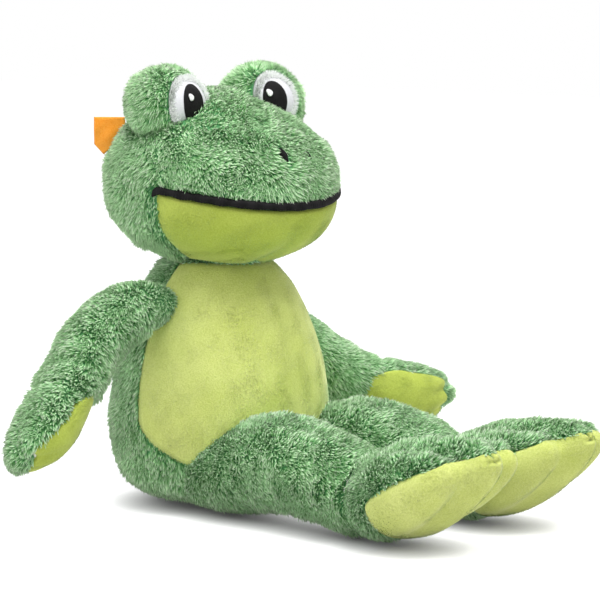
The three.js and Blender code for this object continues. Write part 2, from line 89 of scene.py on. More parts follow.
class Side(Enum):
    """Hand of a limb or an eye, as the sign of its x."""

    RIGHT = -1
    LEFT = 1

    @property
    def label(self) -> str:
        """Word that ends the piece's name."""
        return self.name.lower()


class Slot(Enum):
    """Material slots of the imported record."""

    PLUSH = "plush"
    VELOUR = "velour"
    CALICO = "calico"
    WHITE = "white"
    BLACK = "black"
    FELT = "felt"


# Numbers and curves


RIPPLE_SPREAD = (0.7, 1.6)


def unit(vectors: Array) -> Array:
    """Vectors divided by their own length."""
    return vectors / np.maximum(np.linalg.norm(vectors, axis=-1, keepdims=True), TINY)


def dot(first: Array, second: Array) -> Array:
    """Scalar products over the last axis, which stays as one column."""
    return (first * second).sum(-1, keepdims=True)


def smooth(values: Array, low: float, high: float) -> Array:
    """Cubic step: 0 up to low, 1 from high, and 3 t^2 - 2 t^3 between them."""
    t = np.clip((values - low) / (high - low), 0, 1)
    return t * t * (3 - 2 * t)


def spline(values: Array, share: Array) -> Array:
    """Smooth curve through evenly spaced values.

    Between two values a and b the curve is the cubic whose slopes are half of b less the value before a,
    and half of the value after b less a. Beyond both ends the values go on in a straight line.

    Args:
        values: the values, one row each.
        share: places on the curve, from 0 to 1.

    Returns:
        One row for each place.
    """
    values = np.asarray(values, float)
    points = np.vstack([2 * values[0] - values[1], values, 2 * values[-1] - values[-2]])
    place = np.clip(share, 0, 1) * (len(values) - 1)
    index = np.minimum(place.astype(int), len(values) - 2)
    t = (place - index)[..., None]
    before, a, b, after = (points[index + k] for k in range(4))
    leaving, arriving = (b - before) / 2, (after - a) / 2
    bend = 3 * (b - a) - 2 * leaving - arriving
    return a + t * leaving + t**2 * bend + t**3 * (2 * (a - b) + leaving + arriving)


def ripple(points: Array, wavelength: float, seed: int, waves: int = 5) -> Array:
    """Smooth random field: the sum of a few plane waves in random directions.

    Args:
        points: places, in millimetres.
        wavelength: typical distance from crest to crest.
        seed: number that fixes the waves.
        waves: how many waves are added up.

    Returns:
        Three values between about -1 and 1 for each place.
    """
    rng = np.random.default_rng(seed)
    directions = unit(rng.normal(size=(3, waves, 3))) * rng.uniform(*RIPPLE_SPREAD, (3, waves, 1))
    phases = rng.uniform(0, 2 * np.pi, (3, waves))
    angles = np.einsum("...k,cwk->...cw", points, directions) * (2 * np.pi / wavelength) + phases
    return np.sin(angles).sum(-1) / math.sqrt(waves)


def ring_share(even: Array) -> Array:
    """Place of a ring on a form: half of 1 less the cosine of pi times its even share."""
    return (1 - np.cos(np.pi * even)) / 2


def even_share(ring: Array) -> Array:
    """Even share of a ring, the inverse of ring_share."""
    return np.arccos(1 - 2 * np.asarray(ring)) / np.pi


def fullness(along: Array, caps: tuple[float, float]) -> Array:
    """Girth of a closed form: the root of 1 less |2a - 1| to the power of the nearer cap."""
    power = np.where(along < 0.5, caps[0], caps[1])
    return np.sqrt(np.maximum(0, 1 - np.abs(2 * along - 1) ** power))


# Closed forms


DROP_POWER = 1.5
PATH_PLACES = (0.04, 0.96, 48)


class Form:
    """Closed surface, given by a share along it and an angle round it."""

    def at(self, along: Array, angle: Array) -> Array:
        """Points of the surface."""
        raise NotImplementedError

    def contains(self, points: Array, margin: float) -> Array:
        """Whether each point lies deeper than a margin inside the form."""
        raise NotImplementedError

    def outward(self, along: Array, angle: Array) -> Array:
        """Unit normals: the step round crossed with the step along, turned to the outside.

        Args:
            along: shares of the length, from 0 to 1.
            angle: angles round it, in radians.

        Returns:
            One unit vector for each place.
        """
        inner = np.clip(along, 10 * STEP, 1 - 10 * STEP)
        forward = self.at(inner + STEP, angle) - self.at(inner - STEP, angle)
        around = self.at(inner, angle + STEP) - self.at(inner, angle - STEP)
        middle = self.at(inner * 0 + 0.5, angle * 0)
        opposite = self.at(inner * 0 + 0.5, angle * 0 + np.pi)
        half, zero = np.array(0.5), np.array(0.0)
        ahead = self.at(half + STEP, zero) - self.at(half - STEP, zero)
        beside = self.at(half, zero + STEP) - self.at(half, zero - STEP)
        sign = np.sign(dot(np.cross(beside, ahead), (middle - opposite).reshape(-1, 3)[0]))
        return unit(np.cross(around, forward)) * sign


@dataclass(frozen=True)
class RingForm(Form):
    """Upright form of level rings, half an ellipse to the front and half an ellipse to the back."""

    base: float
    height: float
    levels: Sequence[float]
    widths: Sequence[float]
    fronts: Sequence[float]
    backs: Sequence[float]
    half_width: float
    front: float
    back: float
    caps: tuple[float, float]
    drop: float = 0.0
    turn: float = 0.0

    def sizes(self, along: Array) -> Array:
        """Half width, front reach and back reach of the rings, with the closed ends.

        Args:
            along: shares of the length, from 0 to 1.

        Returns:
            Three lengths for each share, in millimetres.
        """
        table = np.column_stack([self.widths, self.fronts, self.backs])
        table = table * [self.half_width, self.front, self.back]
        return spline(table, along) * fullness(along, self.caps)[..., None]

    def at(self, along: Array, angle: Array) -> Array:
        """x = width sin(angle), y = -reach cos(angle), and z drops with the nearness to the front.

        Args:
            along: shares of the length, from 0 to 1.
            angle: angles round it, in radians.

        Returns:
            Points of the surface.
        """
        along, angle = np.broadcast_arrays(along, angle)
        size = self.sizes(along)
        y = -np.where(np.cos(angle) > 0, size[..., 1], size[..., 2]) * np.cos(angle)
        x = size[..., 0] * np.sin(angle)
        lift = spline(np.array(self.levels)[:, None] * self.height, along)[..., 0]
        z = self.base + lift - self.drop * (np.maximum(0, -y) / self.front) ** DROP_POWER
        return turned_about_z(np.stack([x, y, z], -1), self.turn)

    def contains(self, points: Array, margin: float) -> Array:
        """Inside the ring of the point's own level, made smaller by the margin.

        Args:
            points: places, in millimetres.
            margin: how far inside the surface they have to lie.

        Returns:
            True for each point inside.
        """
        local = turned_about_z(points, -self.turn)
        lift = self.drop * (np.maximum(0, -local[..., 1]) / self.front) ** DROP_POWER
        along = (local[..., 2] + lift - self.base) / self.height
        size = np.maximum(self.sizes(np.clip(along, 0, 1)) - margin, TINY)
        reach = np.where(local[..., 1] < 0, size[..., 1], size[..., 2])
        level = (along > 0) & (along < 1)
        return level & ((local[..., 0] / size[..., 0]) ** 2 + (local[..., 1] / reach) ** 2 < 1)


def turned_about_z(points: Array, degrees: float) -> Array:
    """Points turned about the upright axis through the origin.

    Args:
        points: places or directions.
        degrees: turn, seen from above, counter-clockwise.

    Returns:
        The turned points.
    """
    angle = math.radians(degrees)
    cos, sin = math.cos(angle), math.sin(angle)
    turn = np.array([[cos, sin, 0], [-sin, cos, 0], [0, 0, 1]])
    return points @ turn


@dataclass(frozen=True)
class LimbForm(Form):
    """Limb along a path on the +X side, mirrored for the -X side."""

    path: Array
    girths: Array
    facing: Array
    caps: tuple[float, float]
    side: Side
    toe_notch: float = 0.0
    toe_crease: float = 0.0
    toe_slant: float = 0.0
    toe_start: float = 0.72

    def tangent(self, along: Array) -> Array:
        """Direction of the path, from two points close together."""
        ahead = spline(self.path, np.minimum(along + STEP, 1))
        return unit(ahead - spline(self.path, np.maximum(along - STEP, 0)))

    def at(self, along: Array, angle: Array) -> Array:
        """Path point plus half width by the cosine sideways and half thickness by the sine outwards.

        Args:
            along: shares of the length, from 0 to 1.
            angle: angles round it, in radians.

        Returns:
            Points of the surface.
        """
        along, angle = np.broadcast_arrays(along, angle)
        tangent = self.tangent(along)
        face = unit(self.facing - dot(tangent, self.facing) * tangent)
        across = np.cross(face, tangent)
        girth = spline(self.girths, along)
        full = fullness(along, self.caps)
        lateral = full * np.cos(angle)
        growth = smooth(along, self.toe_start, 1)
        valley = growth * toe_valley(lateral)
        thinning = 1 - self.toe_crease * valley
        notch = self.toe_notch * valley + self.toe_slant * growth * lateral
        point = (
            spline(self.path, along)
            + across * (lateral * girth[..., 0])[..., None]
            + face * (full * girth[..., 1] * np.sin(angle) * thinning)[..., None]
            - tangent * notch[..., None]
        )
        return point * [self.side.value, 1, 1]

    def contains(self, points: Array, margin: float) -> Array:
        """Nearer to a point of the path than the girth there, less the margin.

        Args:
            points: places, in millimetres.
            margin: how far inside the surface they have to lie.

        Returns:
            True for each point inside.
        """
        share = np.linspace(*PATH_PLACES)
        centres = spline(self.path, share) * [self.side.value, 1, 1]
        reach = spline(self.girths, share).min(-1) - margin
        flat = points.reshape(-1, 3)
        apart = np.linalg.norm(flat[:, None, :] - centres[None], axis=-1)
        return (apart < reach).any(-1).reshape(points.shape[:-1])


def toe_valley(lateral: Array) -> Array:
    """Depth share of the two valleys between three toes: half of 1 less the cosine of 3 pi by place."""
    return (1 - np.cos(3 * np.pi * np.minimum(np.abs(lateral), 2 / 3))) / 2


@dataclass(frozen=True)
class BallForm(Form):
    """Ellipsoid with its poles at the bottom and the top, turned about the upright axis at the origin."""

    centre: Array
    half: Array
    turn: float = 0.0

    def at(self, along: Array, angle: Array) -> Array:
        """Half sizes times the sine and cosine of the polar angle.

        Args:
            along: shares of the length, from 0 to 1.
            angle: angles round it, in radians.

        Returns:
            Points of the surface.
        """
        along, angle = np.broadcast_arrays(along, angle)
        polar = np.arccos(np.clip(1 - 2 * along, -1, 1))
        ring = np.stack([np.sin(polar) * np.sin(angle), -np.sin(polar) * np.cos(angle), -np.cos(polar)], -1)
        return turned_about_z(self.centre + ring * self.half, self.turn)

    def contains(self, points: Array, margin: float) -> Array:
        """Inside the ellipsoid made smaller by the margin."""
        local = (turned_about_z(points, -self.turn) - self.centre) / (self.half - margin)
        return (local**2).sum(-1) < 1


# Meshes


@dataclass
class Patch:
    """Part of a form sampled on a grid of rows along it and columns round it."""

    along: Array
    angle: Array
    points: Array
    normals: Array

    @classmethod
    def of(cls, form: Form, along: Array, angle: Array) -> "Patch":
        """Patch of a form at the given shares and angles."""
        along, angle = np.broadcast_arrays(along, angle)
        return cls(along, angle, form.at(along, angle), form.outward(along, angle))

    @classmethod
    def whole(cls, form: Form, rows: int, columns: int) -> "Patch":
        """The whole form, with its first and last rows closed to a point.

        Args:
            form: the form.
            rows: rows along the form.
            columns: columns round it.

        Returns:
            The closed patch.
        """
        along = ring_share(np.linspace(0, 1, rows + 1))[:, None]
        angle = np.linspace(0, 2 * np.pi, columns + 1)[None]
        patch = cls.of(form, along, angle)
        for end in (0, -1):
            patch.normals[end] = unit(patch.normals[end][:-1].mean(0))
            patch.points[end] = patch.points[end][0]
        patch.normals[:, -1] = patch.normals[:, 0]
        patch.points[:, -1] = patch.points[:, 0]
        return patch

    def raised(self, height: Array | float) -> Array:
        """The patch's points moved out along its normals."""
        return self.points + self.normals * np.broadcast_to(height, self.along.shape)[..., None]

    def clear_of(self, mask: Array) -> Array:
        """1 where neither a grid point nor its neighbours are in the mask, and otherwise 0.

        Args:
            mask: True at the grid points to keep clear of.

        Returns:
            One value for each grid point.
        """
        near = mask | np.roll(mask, 1, 1) | np.roll(mask, -1, 1)
        wide = near.copy()
        wide[1:] |= near[:-1]
        wide[:-1] |= near[1:]
        return (~wide).astype(float)

    def lifted(self, height: Array | float) -> "Patch":
        """The same patch moved out along its normals."""
        return Patch(self.along, self.angle, self.raised(height), self.normals)

    def cell_areas(self) -> Array:
        """Area of each cell: half the length of its crossed diagonals.

        Returns:
            Square millimetres for each cell.
        """
        p = self.points
        crossed = np.cross(p[1:, 1:] - p[:-1, :-1], p[1:, :-1] - p[:-1, 1:])
        return np.linalg.norm(crossed, axis=-1) / 2

    def at_cells(self, values: Array) -> Array:
        """Mean of a grid of values at the four corners of each cell."""
        return (values[1:, 1:] + values[1:, :-1] + values[:-1, 1:] + values[:-1, :-1]) / 4

    def cells_in(self, mask: Array) -> Array:
        """Whether more than two corners of each cell are in the mask."""
        return self.at_cells(mask.astype(float)) > 0.5


@dataclass
class Shell:
    """Triangles with their corner points, the map of their corners and, on pile, shading normals."""

    vertices: Array
    triangles: Array
    corners: Array
    shading: Array | None = None

    @classmethod
    def of_grid(cls, points: Array, flip: bool = False) -> "Shell":
        """Two triangles for each cell of a grid of points, mapped to the unit square.

        Args:
            points: rows and columns of places.
            flip: whether the faces turn the other way.

        Returns:
            The open shell.
        """
        rows, columns = points.shape[:2]
        index = np.arange(rows * columns).reshape(rows, columns)
        a, b, c, d = index[:-1, :-1], index[:-1, 1:], index[1:, 1:], index[1:, :-1]
        quads = np.stack([a, d, c, b] if flip else [a, b, c, d], -1).reshape(-1, 4)
        triangles = np.concatenate([quads[:, [0, 1, 2]], quads[:, [0, 2, 3]]])
        u, v = np.meshgrid(np.linspace(0, 1, columns), np.linspace(0, 1, rows))
        return cls(points.reshape(-1, 3), triangles, np.stack([u, v], -1).reshape(-1, 2)[triangles])

    def joined(self, other: "Shell") -> "Shell":
        """Both shells as one."""
        return Shell(
            np.concatenate([self.vertices, other.vertices]),
            np.concatenate([self.triangles, other.triangles + len(self.vertices)]),
            np.concatenate([self.corners, other.corners]),
        )

    def mapped(self, low: tuple[float, float], high: tuple[float, float]) -> "Shell":
        """The same shell with its map squeezed into a part of the unit square."""
        size = np.array(high) - np.array(low)
        return Shell(self.vertices, self.triangles, self.corners * size + np.array(low))

    def closed(self) -> "Shell":
        """Equal points merged, empty triangles left out, and faces turned outwards by the signed volume.

        Returns:
            The closed shell.
        """
        merged = np.round(self.vertices, 4)
        first, inverse = np.unique(merged, axis=0, return_index=True, return_inverse=True)[1:]
        triangles = inverse.reshape(-1)[self.triangles]
        a, b, c = triangles.T
        real = (a != b) & (b != c) & (c != a)
        triangles, corners = triangles[real], self.corners[real]
        vertices = self.vertices[first]
        p, q, r = (vertices[triangles[:, k]] for k in range(3))
        if (p * np.cross(q, r)).sum() < 0:
            triangles, corners = triangles[:, ::-1], corners[:, ::-1]
        return Shell(vertices, triangles, corners)


def mesh_object(name: str, shell: Shell) -> bpy.types.Object:
    """Blender object of a shell, in metres, with smooth faces.

    Args:
        name: name of the piece.
        shell: its triangles, in millimetres.

    Returns:
        The new object, linked to the scene.
    """
    mesh = bpy.data.meshes.new(name)
    count = len(shell.triangles)
    mesh.vertices.add(len(shell.vertices))
    mesh.vertices.foreach_set("co", (shell.vertices * MM).astype(np.float32).ravel())
    mesh.loops.add(3 * count)
    mesh.loops.foreach_set("vertex_index", shell.triangles.astype(np.int32).ravel())
    mesh.polygons.add(count)
    mesh.polygons.foreach_set("loop_start", np.arange(0, 3 * count, 3, dtype=np.int32))
    mesh.update(calc_edges=True)
    layer = mesh.uv_layers.new(name=BAKE_MAP)
    layer.data.foreach_set("uv", shell.corners.astype(np.float32).ravel())
    mesh.shade_smooth()
    if shell.shading is not None:
        mesh.normals_split_custom_set_from_vertices(shell.shading.tolist())
    piece = bpy.data.objects.new(name, mesh)
    bpy.context.scene.collection.objects.link(piece)
    return piece


# Pile


ROOT_DEPTH = 0.3
SHORTEST = 0.45
BROAD_WAVE, BROAD_SWAY = 26, 0.8
FINE_WAVE, FINE_SWAY = 9, 0.3
NAP_SCATTER = 0.3
LEAN_WAVE, LEAN_SWAY, LEAN_SCATTER = 16, 0.3, 0.12
LEAN_LIMITS = (0.05, 1.35)
LENGTHS = (0.78, 1.12)
RADII = (0.4, 0.7)
MEAN_TONE, TONE_SWAY = 0.56, 0.1
TONE_LIMITS = (0.01, 0.98)
TONE_WIDTH = 0.012
MOST_SPIN = 0.5
RISING_SHARE = 1e-3
CLUMP_WAVE, CLUMP_SWAY = 3.1, 0.6
CELL_PRIMES = (73856093, 19349663, 83492791)


@dataclass(frozen=True)
class Pile:
    """Fibres that stand out of a fabric, each a three-sided spike or only the face of it that looks out.

    Lengths are in millimetres, the density is fibres in a square millimetre, and lean is the angle in
    degrees from upright. Wander is how far the nap strays from its comb, and clump and pull are the size
    of the tufts and how far their tips are drawn together. The reach is the place of the tips on the
    colour scale from root to tip, contrast is the spread of the fibres' tones, roundness is the share of
    a fibre's own roundness in its shading, and start is the share of its length that is left out at the
    root.
    """

    length: float
    width: float
    density: float
    lean: float
    wander: float
    clump: float
    pull: float
    faces: int = 3
    reach: float = 1.0
    contrast: float = 0.24
    roundness: float = 0.35
    start: float = 0.0
    floor_gap: float = 0.3

    def grow(self, name: str, patch: Patch, weight: Array, comb: Comb, seed: int) -> bpy.types.Object:
        """Fibres all over a patch.

        Each root lies at random in a cell, in proportion to the cell's area and weight. The fibre's axis is
        the normal times the cosine of its lean plus the combed direction times the sine, and tips in one
        clump are pulled towards their common middle.

        Args:
            name: name of the piece.
            patch: surface that the roots stand on.
            weight: share of the full density in each cell; it also shortens the fibres.
            comb: direction of the nap for points and normals.
            seed: number that fixes the random draws.

        Returns:
            One object that holds all the fibres.
        """
        rng = np.random.default_rng(seed)
        share = patch.cell_areas() * np.clip(weight, 0, 1)
        count = int(self.density * share.sum() * (1))
        cell = rng.choice(share.size, count, p=(share / share.sum()).ravel())
        row, column = np.divmod(cell, share.shape[1])
        s, t = rng.random((2, count, 1))

        def mixed(grid: Array) -> Array:
            """Values between the four corners of each fibre's cell.

            Args:
                grid: values at the points of the patch.

            Returns:
                One value for each fibre.
            """
            near = grid[row, column] * (1 - t) + grid[row, column + 1] * t
            far = grid[row + 1, column] * (1 - t) + grid[row + 1, column + 1] * t
            return near * (1 - s) + far * s

        normal = unit(mixed(patch.normals))
        root = mixed(patch.points) - normal * ROOT_DEPTH
        short = SHORTEST + (1 - SHORTEST) * np.clip(weight, 0, 1)[row, column][:, None]
        sway = BROAD_SWAY * ripple(root, BROAD_WAVE, seed + 1)
        sway = sway + FINE_SWAY * ripple(root, FINE_WAVE, seed + 2)
        nap = comb(root, normal) + self.wander * (sway + NAP_SCATTER * rng.normal(size=root.shape))
        nap = unit(nap - dot(nap, normal) * normal)
        sway = LEAN_SWAY * ripple(root, LEAN_WAVE, seed + 3)[:, :1]
        lean = np.radians(self.lean) * (1 + sway + LEAN_SCATTER * rng.normal(size=(count, 1)))
        lean = np.clip(lean, *LEAN_LIMITS)
        axis = normal * np.cos(lean) + nap * np.sin(lean)
        tip = root + axis * self.length * short * rng.uniform(*LENGTHS, (count, 1))
        tip = tip + self.pull * (clump_middles(root, tip, self.clump, seed + 4) - tip) * short
        tip[:, 2] = np.maximum(tip[:, 2], self.floor_gap)
        root = root + self.start * (tip - root)
        radius = self.width * rng.uniform(*RADII, (count, 1))
        spin = rng.uniform(-MOST_SPIN, MOST_SPIN, (count, 1))
        sway = TONE_SWAY * ripple(root, BROAD_WAVE, seed + 5)[:, :1]
        tone = MEAN_TONE + self.contrast * rng.normal(size=(count, 1)) + sway
        tone = np.clip(tone, *TONE_LIMITS)
        return mesh_object(name, self.spikes(root, tip, normal, radius, spin, tone))

    def spikes(
        self, root: Array, tip: Array, normal: Array, radius: Array, spin: Array, tone: Array
    ) -> Shell:
        """Triangles of all the fibres, with the tone across the map and root to tip up the map.

        The three points round each root stand a third of a turn apart, so that the first face looks out.
        The shading normal is the fabric's own with a share of the direction away from the fibre's axis,
        because light passes through and round a fibre and the pile is lit as one soft surface.

        Args:
            root: roots, in millimetres.
            tip: tips, in millimetres.
            normal: the fabric's normals.
            radius: radius at the root.
            spin: turn about the axis, in radians.
            tone: place across the map.

        Returns:
            One shell of all the fibres.
        """
        axis = unit(tip - root)
        rising = unit(normal - dot(normal, axis) * axis + RISING_SHARE * normal)
        beside = np.cross(rising, axis)
        turn = (np.pi / 6 + 2 * np.pi / 3 * np.arange(3) + spin)[..., None]
        away = np.cos(turn) * beside[:, None] + np.sin(turn) * rising[:, None]
        points = np.concatenate([root[:, None] + away * radius[..., None], tip[:, None]], 1)
        at_tip = (normal + self.roundness * axis)[:, None]
        shading = np.concatenate([normal[:, None] + self.roundness * away, at_tip], 1)
        layout = np.array([[0, 1, 3], [1, 2, 3], [2, 0, 3]])[: self.faces]
        triangles = (np.arange(len(root))[:, None, None] * 4 + layout).reshape(-1, 3)
        places = np.array([[0.0, 0.0], [TONE_WIDTH, 0.0], [TONE_WIDTH / 2, self.reach]])
        corners = places + np.stack([tone, tone * 0], -1)[:, :, None] + np.zeros((1, self.faces, 1, 1))
        shading = unit(shading).reshape(-1, 3)
        return Shell(points.reshape(-1, 3), triangles, corners.reshape(-1, 3, 2), shading)


# The undercoat's tips stop at 0.6 of the colour ramp, so the under layer stays darker: painted shade
# beneath the top coat.
UNDERCOAT = Pile(3.3, 0.7, 2.2, 40, 0.6, 1.6, 0.25, reach=0.6, contrast=0.3)
TOP_COAT = Pile(4.6, 0.85, 1.7, 56, 0.5, 1.6, 0.4, contrast=0.4, roundness=0.9, start=0.3)
VELOUR_NAP = Pile(1.2, 0.36, 4.6, 50, 0.6, 1.2, 0.1, faces=1, contrast=0.4)
EYE_NAP = Pile(2.0, 0.34, 9.0, 56, 0.35, 1.0, 0.0)


def clump_middles(root: Array, tip: Array, size: float, seed: int) -> Array:
    """Mean tip of each fibre's clump, where a clump is a cell of a rippled cubic lattice.

    Args:
        root: roots, in millimetres.
        tip: tips, in millimetres.
        size: width of a cell.
        seed: number that fixes the ripples.

    Returns:
        One place for each fibre.
    """
    moved = root + CLUMP_SWAY * size * ripple(root, CLUMP_WAVE * size, seed)
    x, y, z = (np.floor(moved / size).astype(np.int64) * CELL_PRIMES).T
    _, group = np.unique(x ^ y ^ z, return_inverse=True)
    group = group.reshape(-1)
    count = np.bincount(group)[:, None]
    total = np.stack([np.bincount(group, tip[:, k]) for k in range(3)], -1)
    return (total / count)[group]


def toward(*direction: float) -> Comb:
    """Nap that lies in one direction everywhere."""
    way = unit(np.array(direction, float))
    return lambda points, normals: np.broadcast_to(way, points.shape)


# Finishes


def linear(code: str) -> tuple[float, float, float, float]:
    """Linear colour of an sRGB hex code: each value is divided by 12.92 below 0.04045, and otherwise
    0.055 is added, the sum is divided by 1.055 and raised to the power 2.4.

    Args:
        code: six hex digits.

    Returns:
        Red, green, blue and an alpha of 1.
    """
    values = [int(code[i : i + 2], 16) / 255 for i in (0, 2, 4)]
    red, green, blue = (v / 12.92 if v <= 0.04045 else ((v + 0.055) / 1.055) ** 2.4 for v in values)
    return red, green, blue, 1.0


def node(
    tree: bpy.types.NodeTree, kind: str, settings: dict[str | int, Any] | None = None, **links: Any
) -> bpy.types.Node:
    """One node with its settings, its constants and its links.

    Args:
        tree: node tree that it is added to.
        kind: Blender's name of the node.
        settings: attributes of the node, and values of its inputs under their names or numbers.
        links: for each input, with _ for a space or as input_NUMBER, the output that feeds it.

    Returns:
        The new node.
    """
    made = tree.nodes.new(kind)
    for name, value in (settings or {}).items():
        if isinstance(name, int) or name in made.inputs:
            made.inputs[name].default_value = value
        else:
            setattr(made, name, value)
    for name, source in links.items():
        number = name.removeprefix("input_")
        wanted = int(number) if number.isdigit() else name.replace("_", " ")
        tree.links.new(source, made.inputs[wanted])
    return made


def ramp(made: bpy.types.Node, stops: Sequence[tuple[float, str]]) -> bpy.types.Node:
    """The colour ramp with the given places and hex colours.

    Args:
        made: a colour ramp node.
        stops: place and hex code of each colour.

    Returns:
        The same node.
    """
    elements = made.color_ramp.elements
    while len(elements) < len(stops):
        elements.new(0.5)
    for element, (place, code) in zip(elements, stops):
        element.position = place
        element.color = linear(code)
    return made


class Finish:
    """Material of one kind, made the first time that a piece needs it."""

    name: str

    def shade(self, tree: bpy.types.NodeTree) -> bpy.types.Node:
        """Nodes of the material. It returns the node whose first output is the surface."""
        raise NotImplementedError

    def material(self) -> bpy.types.Material:
        """The material, built once.

        Returns:
            The material that the pieces share.
        """
        known = bpy.data.materials.get(self.name)
        if known is not None:
            return known
        made = bpy.data.materials.new(self.name)
        made.use_nodes = True
        tree = made.node_tree
        tree.nodes.clear()
        surface = self.shade(tree)
        node(tree, "ShaderNodeOutputMaterial", Surface=surface.outputs[0])
        return made

    def put_on(self, piece: bpy.types.Object) -> None:
        """The material becomes the piece's only one."""
        piece.data.materials.clear()
        piece.data.materials.append(self.material())


@dataclass(frozen=True)
class PileFinish(Finish):
    """Polyester pile, dyed through: dull fibres that scatter light, with a pale sheen at grazing angles.

    The map's height runs from root to tip and its width is the tone of each fibre. Along the height the
    colour is painted light: darker roots are painted shade down in the pile, and paler tips are a painted
    highlight.
    """

    name: str
    root: str
    middle: str
    tip: str
    dark: str
    light: str
    sheen: float
    sheen_tint: str = "CBF0BC"
    sheen_roughness: float = 0.5
    roughness: float = 0.72
    gloss: float = 0.28

    def shade(self, tree: bpy.types.NodeTree) -> bpy.types.Node:
        """Colour from root to tip, darker at the root as painted shade and paler at the tip as a painted
        highlight, multiplied by the fibre's own tone.

        Args:
            tree: nodes of the material.

        Returns:
            The node that shades the surface.
        """
        uv = node(tree, "ShaderNodeUVMap", {"uv_map": BAKE_MAP})
        parts = node(tree, "ShaderNodeSeparateXYZ", Vector=uv.outputs[0])
        height = ramp(
            node(tree, "ShaderNodeValToRGB", Fac=parts.outputs["Y"]),
            [(0.0, self.root), (0.5, self.middle), (1.0, self.tip)],
        )
        tone = ramp(
            node(tree, "ShaderNodeValToRGB", Fac=parts.outputs["X"]), [(0.0, self.dark), (1.0, self.light)]
        )
        colour = node(
            tree,
            "ShaderNodeMix",
            {"data_type": "RGBA", "blend_type": "MULTIPLY", "Factor": 1.0},
            input_6=height.outputs[0],
            input_7=tone.outputs[0],
        )
        return node(
            tree,
            "ShaderNodeBsdfPrincipled",
            {
                "Roughness": self.roughness,
                "Specular IOR Level": self.gloss,
                "Sheen Weight": self.sheen,
                "Sheen Roughness": self.sheen_roughness,
                "Sheen Tint": linear(self.sheen_tint),
            },
            Base_Color=colour.outputs[2],
        )


@dataclass(frozen=True)
class Knit(Finish):
    """Knitted backing or short velour cloth: matt, with a fine grain as wide as a loop or tuft."""

    name: str
    low: str
    high: str
    grain: float
    depth: float
    sheen: float
    sheen_tint: str = "FFFFFF"
    sheen_roughness: float = 0.35
    roughness: float = 0.85
    gloss: float = 0.2
    relief: float = 0.7
    patches: float = 26.0
    patch_share: float = 0.6
    low_place: float = 0.52
    high_place: float = 1.05

    def shade(self, tree: bpy.types.NodeTree) -> bpy.types.Node:
        """Fine noise as wide as the grain mixes two colours and raises the surface.

        Args:
            tree: nodes of the material.

        Returns:
            The node that shades the surface.
        """
        place = node(tree, "ShaderNodeTexCoord")
        fine = node(
            tree,
            "ShaderNodeTexNoise",
            {"Scale": 1 / (self.grain * MM), "Detail": 3.0, "Roughness": 0.6},
            Vector=place.outputs["Object"],
        )
        broad = node(
            tree,
            "ShaderNodeTexNoise",
            {"Scale": 1 / (self.patches * MM), "Detail": 2.0},
            Vector=place.outputs["Object"],
        )
        share = node(
            tree,
            "ShaderNodeMath",
            {"operation": "MULTIPLY_ADD", 1: self.patch_share},
            input_0=broad.outputs[0],
            input_2=fine.outputs[0],
        )
        colour = ramp(
            node(tree, "ShaderNodeValToRGB", Fac=share.outputs[0]),
            [(self.low_place, self.low), (self.high_place, self.high)],
        )
        bump = node(
            tree,
            "ShaderNodeBump",
            {"Strength": self.relief, "Distance": self.depth * MM},
            Height=fine.outputs[0],
        )
        return node(
            tree,
            "ShaderNodeBsdfPrincipled",
            {
                "Roughness": self.roughness,
                "Specular IOR Level": self.gloss,
                "Sheen Weight": self.sheen,
                "Sheen Roughness": self.sheen_roughness,
                "Sheen Tint": linear(self.sheen_tint),
            },
            Base_Color=colour.outputs[0],
            Normal=bump.outputs[0],
        )


@dataclass(frozen=True)
class Thread(Finish):
    """Rayon embroidery thread in satin stitch: the stitches run across the map's height and shine softly.

    The wave texture draws a known number of rows over the map where its scale is 1, two to a wave.
    """

    name: str
    low: str
    high: str
    rows: float
    roughness: float
    gloss: float
    rows_at_scale_one: float = 6.3
    unevenness: float = 1.2
    relief: float = 0.6
    depth: float = 0.15

    def shade(self, tree: bpy.types.NodeTree) -> bpy.types.Node:
        """Wave bands across the map, one for each stitch, colour and raise the thread.

        Args:
            tree: nodes of the material.

        Returns:
            The node that shades the surface.
        """
        uv = node(tree, "ShaderNodeUVMap", {"uv_map": BAKE_MAP})
        bands = node(
            tree,
            "ShaderNodeTexWave",
            {
                "bands_direction": "Y",
                "Scale": self.rows / self.rows_at_scale_one,
                "Distortion": self.unevenness,
                "Detail": 2.0,
            },
            Vector=uv.outputs[0],
        )
        colour = ramp(
            node(tree, "ShaderNodeValToRGB", Fac=bands.outputs["Fac"]), [(0.0, self.low), (1.0, self.high)]
        )
        bump = node(
            tree,
            "ShaderNodeBump",
            {"Strength": self.relief, "Distance": self.depth * MM},
            Height=bands.outputs["Fac"],
        )
        return node(
            tree,
            "ShaderNodeBsdfPrincipled",
            {"Roughness": self.roughness, "Specular IOR Level": self.gloss},
            Base_Color=colour.outputs[0],
            Normal=bump.outputs[0],
        )


# Green plush: roots darkened as painted shade in the pile and tips paled as a painted highlight, so that
# the tufts read as fur.
GREEN_PILE = PileFinish("plush_polyester_pile", "4CA656", "D2FEC4", "FEFFF4", "6A9664", "FFFFFF", 1.0)
# Knitted ground of the plush, a dark green that shows between the fibres; its darkness is painted shade in
# the gaps of the pile.
GREEN_BACKING = Knit("plush_knitted_backing", "427F4E", "5B9863", 0.9, 0.3, 0.1)
# Lime velour of belly and soles: a fine grain, in the paler copy of the velour that paints the light
# falling on these faces.
LIME_PILE = PileFinish("velour_pile", "B8C462", "D4DC86", "EEF0BA", "CFD4BC", "FFFFFF", 0.6)
# The same velour in a darker copy on chin and palms: painted shade on these downward faces.
SHADED_LIME_PILE = PileFinish(
    "velour_pile_painted_shade", "9DB042", "B2C45A", "CBD87A", "CBD2B6", "FFFFFF", 0.4
)
